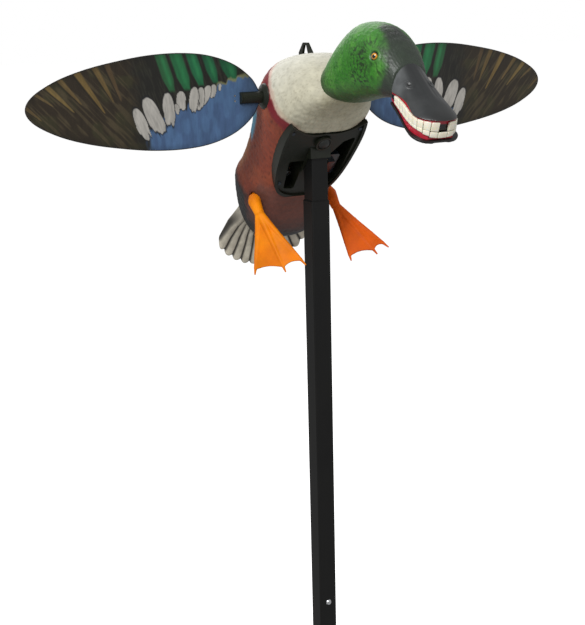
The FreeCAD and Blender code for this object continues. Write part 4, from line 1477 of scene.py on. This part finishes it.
    def white_tips(self, canvas: Canvas, out: np.ndarray, up: np.ndarray) -> None:
        """Pale oval feather tips in a row that falls away from the root.

        Args:
            canvas: Colours of the printed face.
            out: Distance of each point from the duck's middle.
            up: Height of each point from the wing axis.
        """
        for centre_x, centre_z, long_half, half, tilt in self.tips:
            turn = math.radians(tilt)
            across = (out - centre_x) * math.cos(turn) - (up - centre_z) * math.sin(turn)
            along = (out - centre_x) * math.sin(turn) + (up - centre_z) * math.cos(turn)
            ragged = cloud(rows_of(across, along * 0.1), 1.6, centre_x) - 0.5
            low = np.where(along < 0, 0.5 * ragged, 0.06 * ragged)
            oval = (np.abs(across) / half) ** 2.2 + (np.abs(along) / long_half) ** 2.2 + low * 2.0
            canvas.lay(1 - smooth(1.0, 1.45, oval), "#15171a")
            canvas.lay(1 - smooth(0.86, 1.06, oval), "#b4b0a9")
            veins = patches(0.4, 0.8, rows_of(across, along * 0.15), 1.3, centre_x + 3)
            canvas.lay((1 - smooth(0.75, 1.0, oval)) * veins * 0.4, "#8f8c88")


# ---- legs ---------------------------------------------------------------------------------
@dataclass
class Leg:
    """Soft vinyl leg with a webbed foot: three ridged toes and a skin scooped between them."""

    side: int
    name: str
    ankle: tuple[float, float, float]
    toes: tuple
    shade: str
    hip_r: float = 8.4
    ankle_r: float = 6.4
    plug_r: float = 5.0
    web_mm: float = 2.8
    bones: tuple = ((0.0, 5.2), (0.36, 3.4), (0.68, 2.7), (0.9, 2.1), (1.0, 1.2))

    def build(self) -> None:
        """Model the leg from its bars, knuckles and webs, then melt them together."""
        root, axis = leg_frame(self.side)
        ankle = self.ankle + LEVEL
        tips = [tip + LEVEL for tip in self.toes]
        hip = root + axis * 4
        pieces = [cone_between(root - axis * 14, root - axis * 2, self.plug_r, self.plug_r),
                  cone_between(root - axis * 3, hip, self.hip_r, self.hip_r), ball(hip, self.hip_r),
                  cone_between(hip, ankle, self.hip_r, self.ankle_r), ball(ankle, self.ankle_r + 0.2)]
        for tip in tips:
            pieces += self.toe(ankle, tip)
        for first, second in zip(tips, tips[1:]):
            pieces.append(self.web(ankle, first, second))
        body = self.name + "_leg"
        piece = joined(pieces, body + "_vinyl")
        softened(piece, 0.75, 6)
        self.paint(piece, ankle)
        send_out(piece, VINYL, body, body)

    def toe(self, ankle: np.ndarray, tip: np.ndarray) -> list[bpy.types.Object]:
        """Model one toe: tapering bones, a knuckle at each joint and a pointed claw.

        Args:
            ankle: Where the toe starts, in mm.
            tip: Where it ends, in mm.

        Returns:
            Its bones and knuckles.
        """
        pieces = []
        for (near, near_r), (far, far_r) in zip(self.bones, self.bones[1:]):
            start, end = ankle + (tip - ankle) * near, ankle + (tip - ankle) * far
            pieces.append(cone_between(start, end, near_r, far_r))
            pieces.append(ball(end, far_r * 1.12, 16))
        return pieces

    def web(self, ankle: np.ndarray, first: np.ndarray, second: np.ndarray) -> bpy.types.Object:
        """Model the skin between two toes, scooped at its outer edge and sagging a little.

        Args:
            ankle: Where both toes start, in mm.
            first: Tip of one toe, in mm.
            second: Tip of the next toe, in mm.

        Returns:
            The skin.
        """
        shares = np.linspace(0, 1, 25)
        arch = np.sin(np.pi * shares)
        normal = np.cross(first - ankle, second - ankle)
        normal = normal / np.linalg.norm(normal)
        reach = shares[:, None] * (0.93 - 0.035 * arch)[None, :]
        rays = first + (second - first) * shares[:, None] - ankle
        grid = ankle + rays[None, :, :] * reach[..., None]
        sag = 1.2 * arch[None, :] * shares[:, None]
        piece = woven("web", grid + normal * sag[..., None])
        finish_modifier(piece, "SOLIDIFY", thickness=self.web_mm * MM, offset=0.0)
        return piece

    def paint(self, piece: bpy.types.Object, ankle: np.ndarray) -> None:
        """Orange, deeper at the claws, with painted shade on faces turned sideways, the webs among them.

        Args:
            piece: The leg.
            ankle: Middle of its ankle, in mm.
        """
        spots = points_of(piece)
        canvas = Canvas(len(spots), self.shade)
        canvas.lay(patches(0.35, 0.8, spots, 14.0) * 0.2, "#e56502")
        away = np.linalg.norm(spots - ankle, axis=1)
        canvas.lay(smooth(30, 80, away) * 0.2, "#dc5c00")
        # Painted shade: faces turned sideways from the front are darkened, away from the ankle.
        turned_side_shade = 1 - smooth(0.5, 0.95, np.abs(mesh_normals(piece)[:, 1]))
        canvas.lay(turned_side_shade * smooth(8, 20, away) * 0.25, "#c24a00")
        canvas.write(piece)


# ---- stage --------------------------------------------------------------------------------
@dataclass
class Stage:
    """Pale floor, soft studio lights and the camera."""

    lens: float = 61.67
    sensor: float = 36.0
    azimuth: float = math.radians(-27.214)
    pitch: float = math.radians(15.346)
    roll: float = math.radians(1.511)
    eye_mm: tuple[float, float, float] = (-639.8, -1170.9, 959.6)
    aim: tuple[float, float, float] = (0.0, 0.0, 0.8)
    floor_size: float = 60.0
    floor_z: float = -0.112
    world_light: float = 0.42
    floor_glow: float = 0.6

    def build(self) -> None:
        """Make the floor, lights and camera."""
        self.make_floor()
        self.make_light("key", (-1.9, -1.5, 2.5), 1.5, 72.0)
        self.make_light("fill", (1.8, -1.8, 1.2), 2.0, 7.0)
        self.make_light("back", (0.4, 1.8, 2.2), 2.0, 22.0)
        self.make_world()
        bpy.context.scene.view_settings.view_transform = "Standard"
        self.make_camera()
        LOG.info("stage: floor, three lights and camera")

    def make_world(self) -> None:
        """White backdrop that lights the decoy less than it shows."""
        world = bpy.data.worlds.new("studio")
        bpy.context.scene.world = world
        tree = empty_tree(world)
        white = to_linear("#ffffff")
        seen = add_node(tree, "ShaderNodeBackground", {"Color": white, "Strength": 1.0})
        cast = add_node(tree, "ShaderNodeBackground", {"Color": white, "Strength": self.world_light})
        path = add_node(tree, "ShaderNodeLightPath", {})
        both = add_node(tree, "ShaderNodeMixShader", {0: path.outputs["Is Camera Ray"],
                                                      1: cast.outputs["Background"],
                                                      2: seen.outputs["Background"]})
        add_node(tree, "ShaderNodeOutputWorld", {"Surface": both.outputs["Shader"]})

    def make_floor(self) -> None:
        """Large pale floor under the spike's point."""
        deselect()
        bpy.ops.mesh.primitive_plane_add(size=self.floor_size, location=(0, 0, self.floor_z))
        floor = bpy.context.object
        floor.name = "studio_floor"
        material = bpy.data.materials.new("studio_paper")
        tree = empty_tree(material)
        place = add_node(tree, "ShaderNodeTexCoord", {})
        fibre = add_node(tree, "ShaderNodeTexNoise", {"Vector": place.outputs["Object"], "Scale": 300.0})
        tone = add_node(tree, "ShaderNodeMix", {0: fibre.outputs["Fac"], 6: to_linear("#fbfbfb"),
                                                7: to_linear("#ffffff")}, data_type="RGBA")
        surface = add_node(tree, "ShaderNodeBsdfPrincipled",
                           {"Base Color": tone.outputs[2], "Roughness": 0.9,
                            "Emission Color": to_linear("#ffffff"),
                            "Emission Strength": self.floor_glow})
        add_node(tree, "ShaderNodeOutputMaterial", {"Surface": surface.outputs["BSDF"]})
        floor.data.materials.append(material)
        floor.visible_diffuse = False
        floor.visible_glossy = False

    def make_light(self, name: str, place: tuple, size: float, power: float) -> None:
        """Hang a square soft box that is turned towards the decoy.

        Args:
            name: Name of the light.
            place: Where it hangs, in metres.
            size: Its width, in metres.
            power: Its power in watts.
        """
        light = bpy.data.lights.new(name, "AREA")
        light.size = size
        light.energy = power
        lamp = bpy.data.objects.new(name, light)
        bpy.context.scene.collection.objects.link(lamp)
        lamp.location = place
        turn = (Vector(self.aim) - Vector(place)).to_track_quat("-Z", "Y")
        lamp.rotation_euler = turn.to_euler()

    def make_camera(self) -> None:
        """Camera in front of the duck's right side, looking a little down."""
        data = bpy.data.cameras.new("camera")
        data.lens = self.lens
        data.sensor_width = self.sensor
        data.clip_end = 100.0
        camera = bpy.data.objects.new("camera", data)
        bpy.context.scene.collection.objects.link(camera)
        camera.location = Vector(self.eye_mm) * MM
        camera.rotation_mode = "XYZ"
        level = Vector((-math.sin(self.azimuth) * math.cos(self.pitch),
                        math.cos(self.azimuth) * math.cos(self.pitch), -math.sin(self.pitch)))
        turn = level.to_track_quat("-Z", "Y").to_matrix()
        roll = turn.to_4x4() @ Matrix.Rotation(-self.roll, 4, "Z")
        camera.rotation_euler = roll.to_euler()
        bpy.context.scene.camera = camera


def main() -> None:
    """Build the stage and every sub-assembly in order."""
    logging.basicConfig(level=logging.INFO, format="%(name)s: %(message)s")
    Stage().build()
    dress_nodes()
    Body().build()
    Tail().build()
    Head().build()
    Bill().build()
    for side, name in ((-1, "right"), (1, "left")):
        Wing(side, name).build()
    right_toes = ((-72, 35, -224), (-48, -4, -216), (-24, -12.5, -208.5))
    Leg(-1, "right", (-57, 48.5, -147.5), right_toes, "#ff9400").build()
    # The left leg's deeper orange is painted shade: the same vinyl as the right leg, darkened.
    left_toes = ((48, -3, -213.5), (78, -18, -206), (95, -18, -199))
    Leg(1, "left", (57, 52, -150), left_toes, "#e45f00").build()


if __name__ == "__main__":
    main()
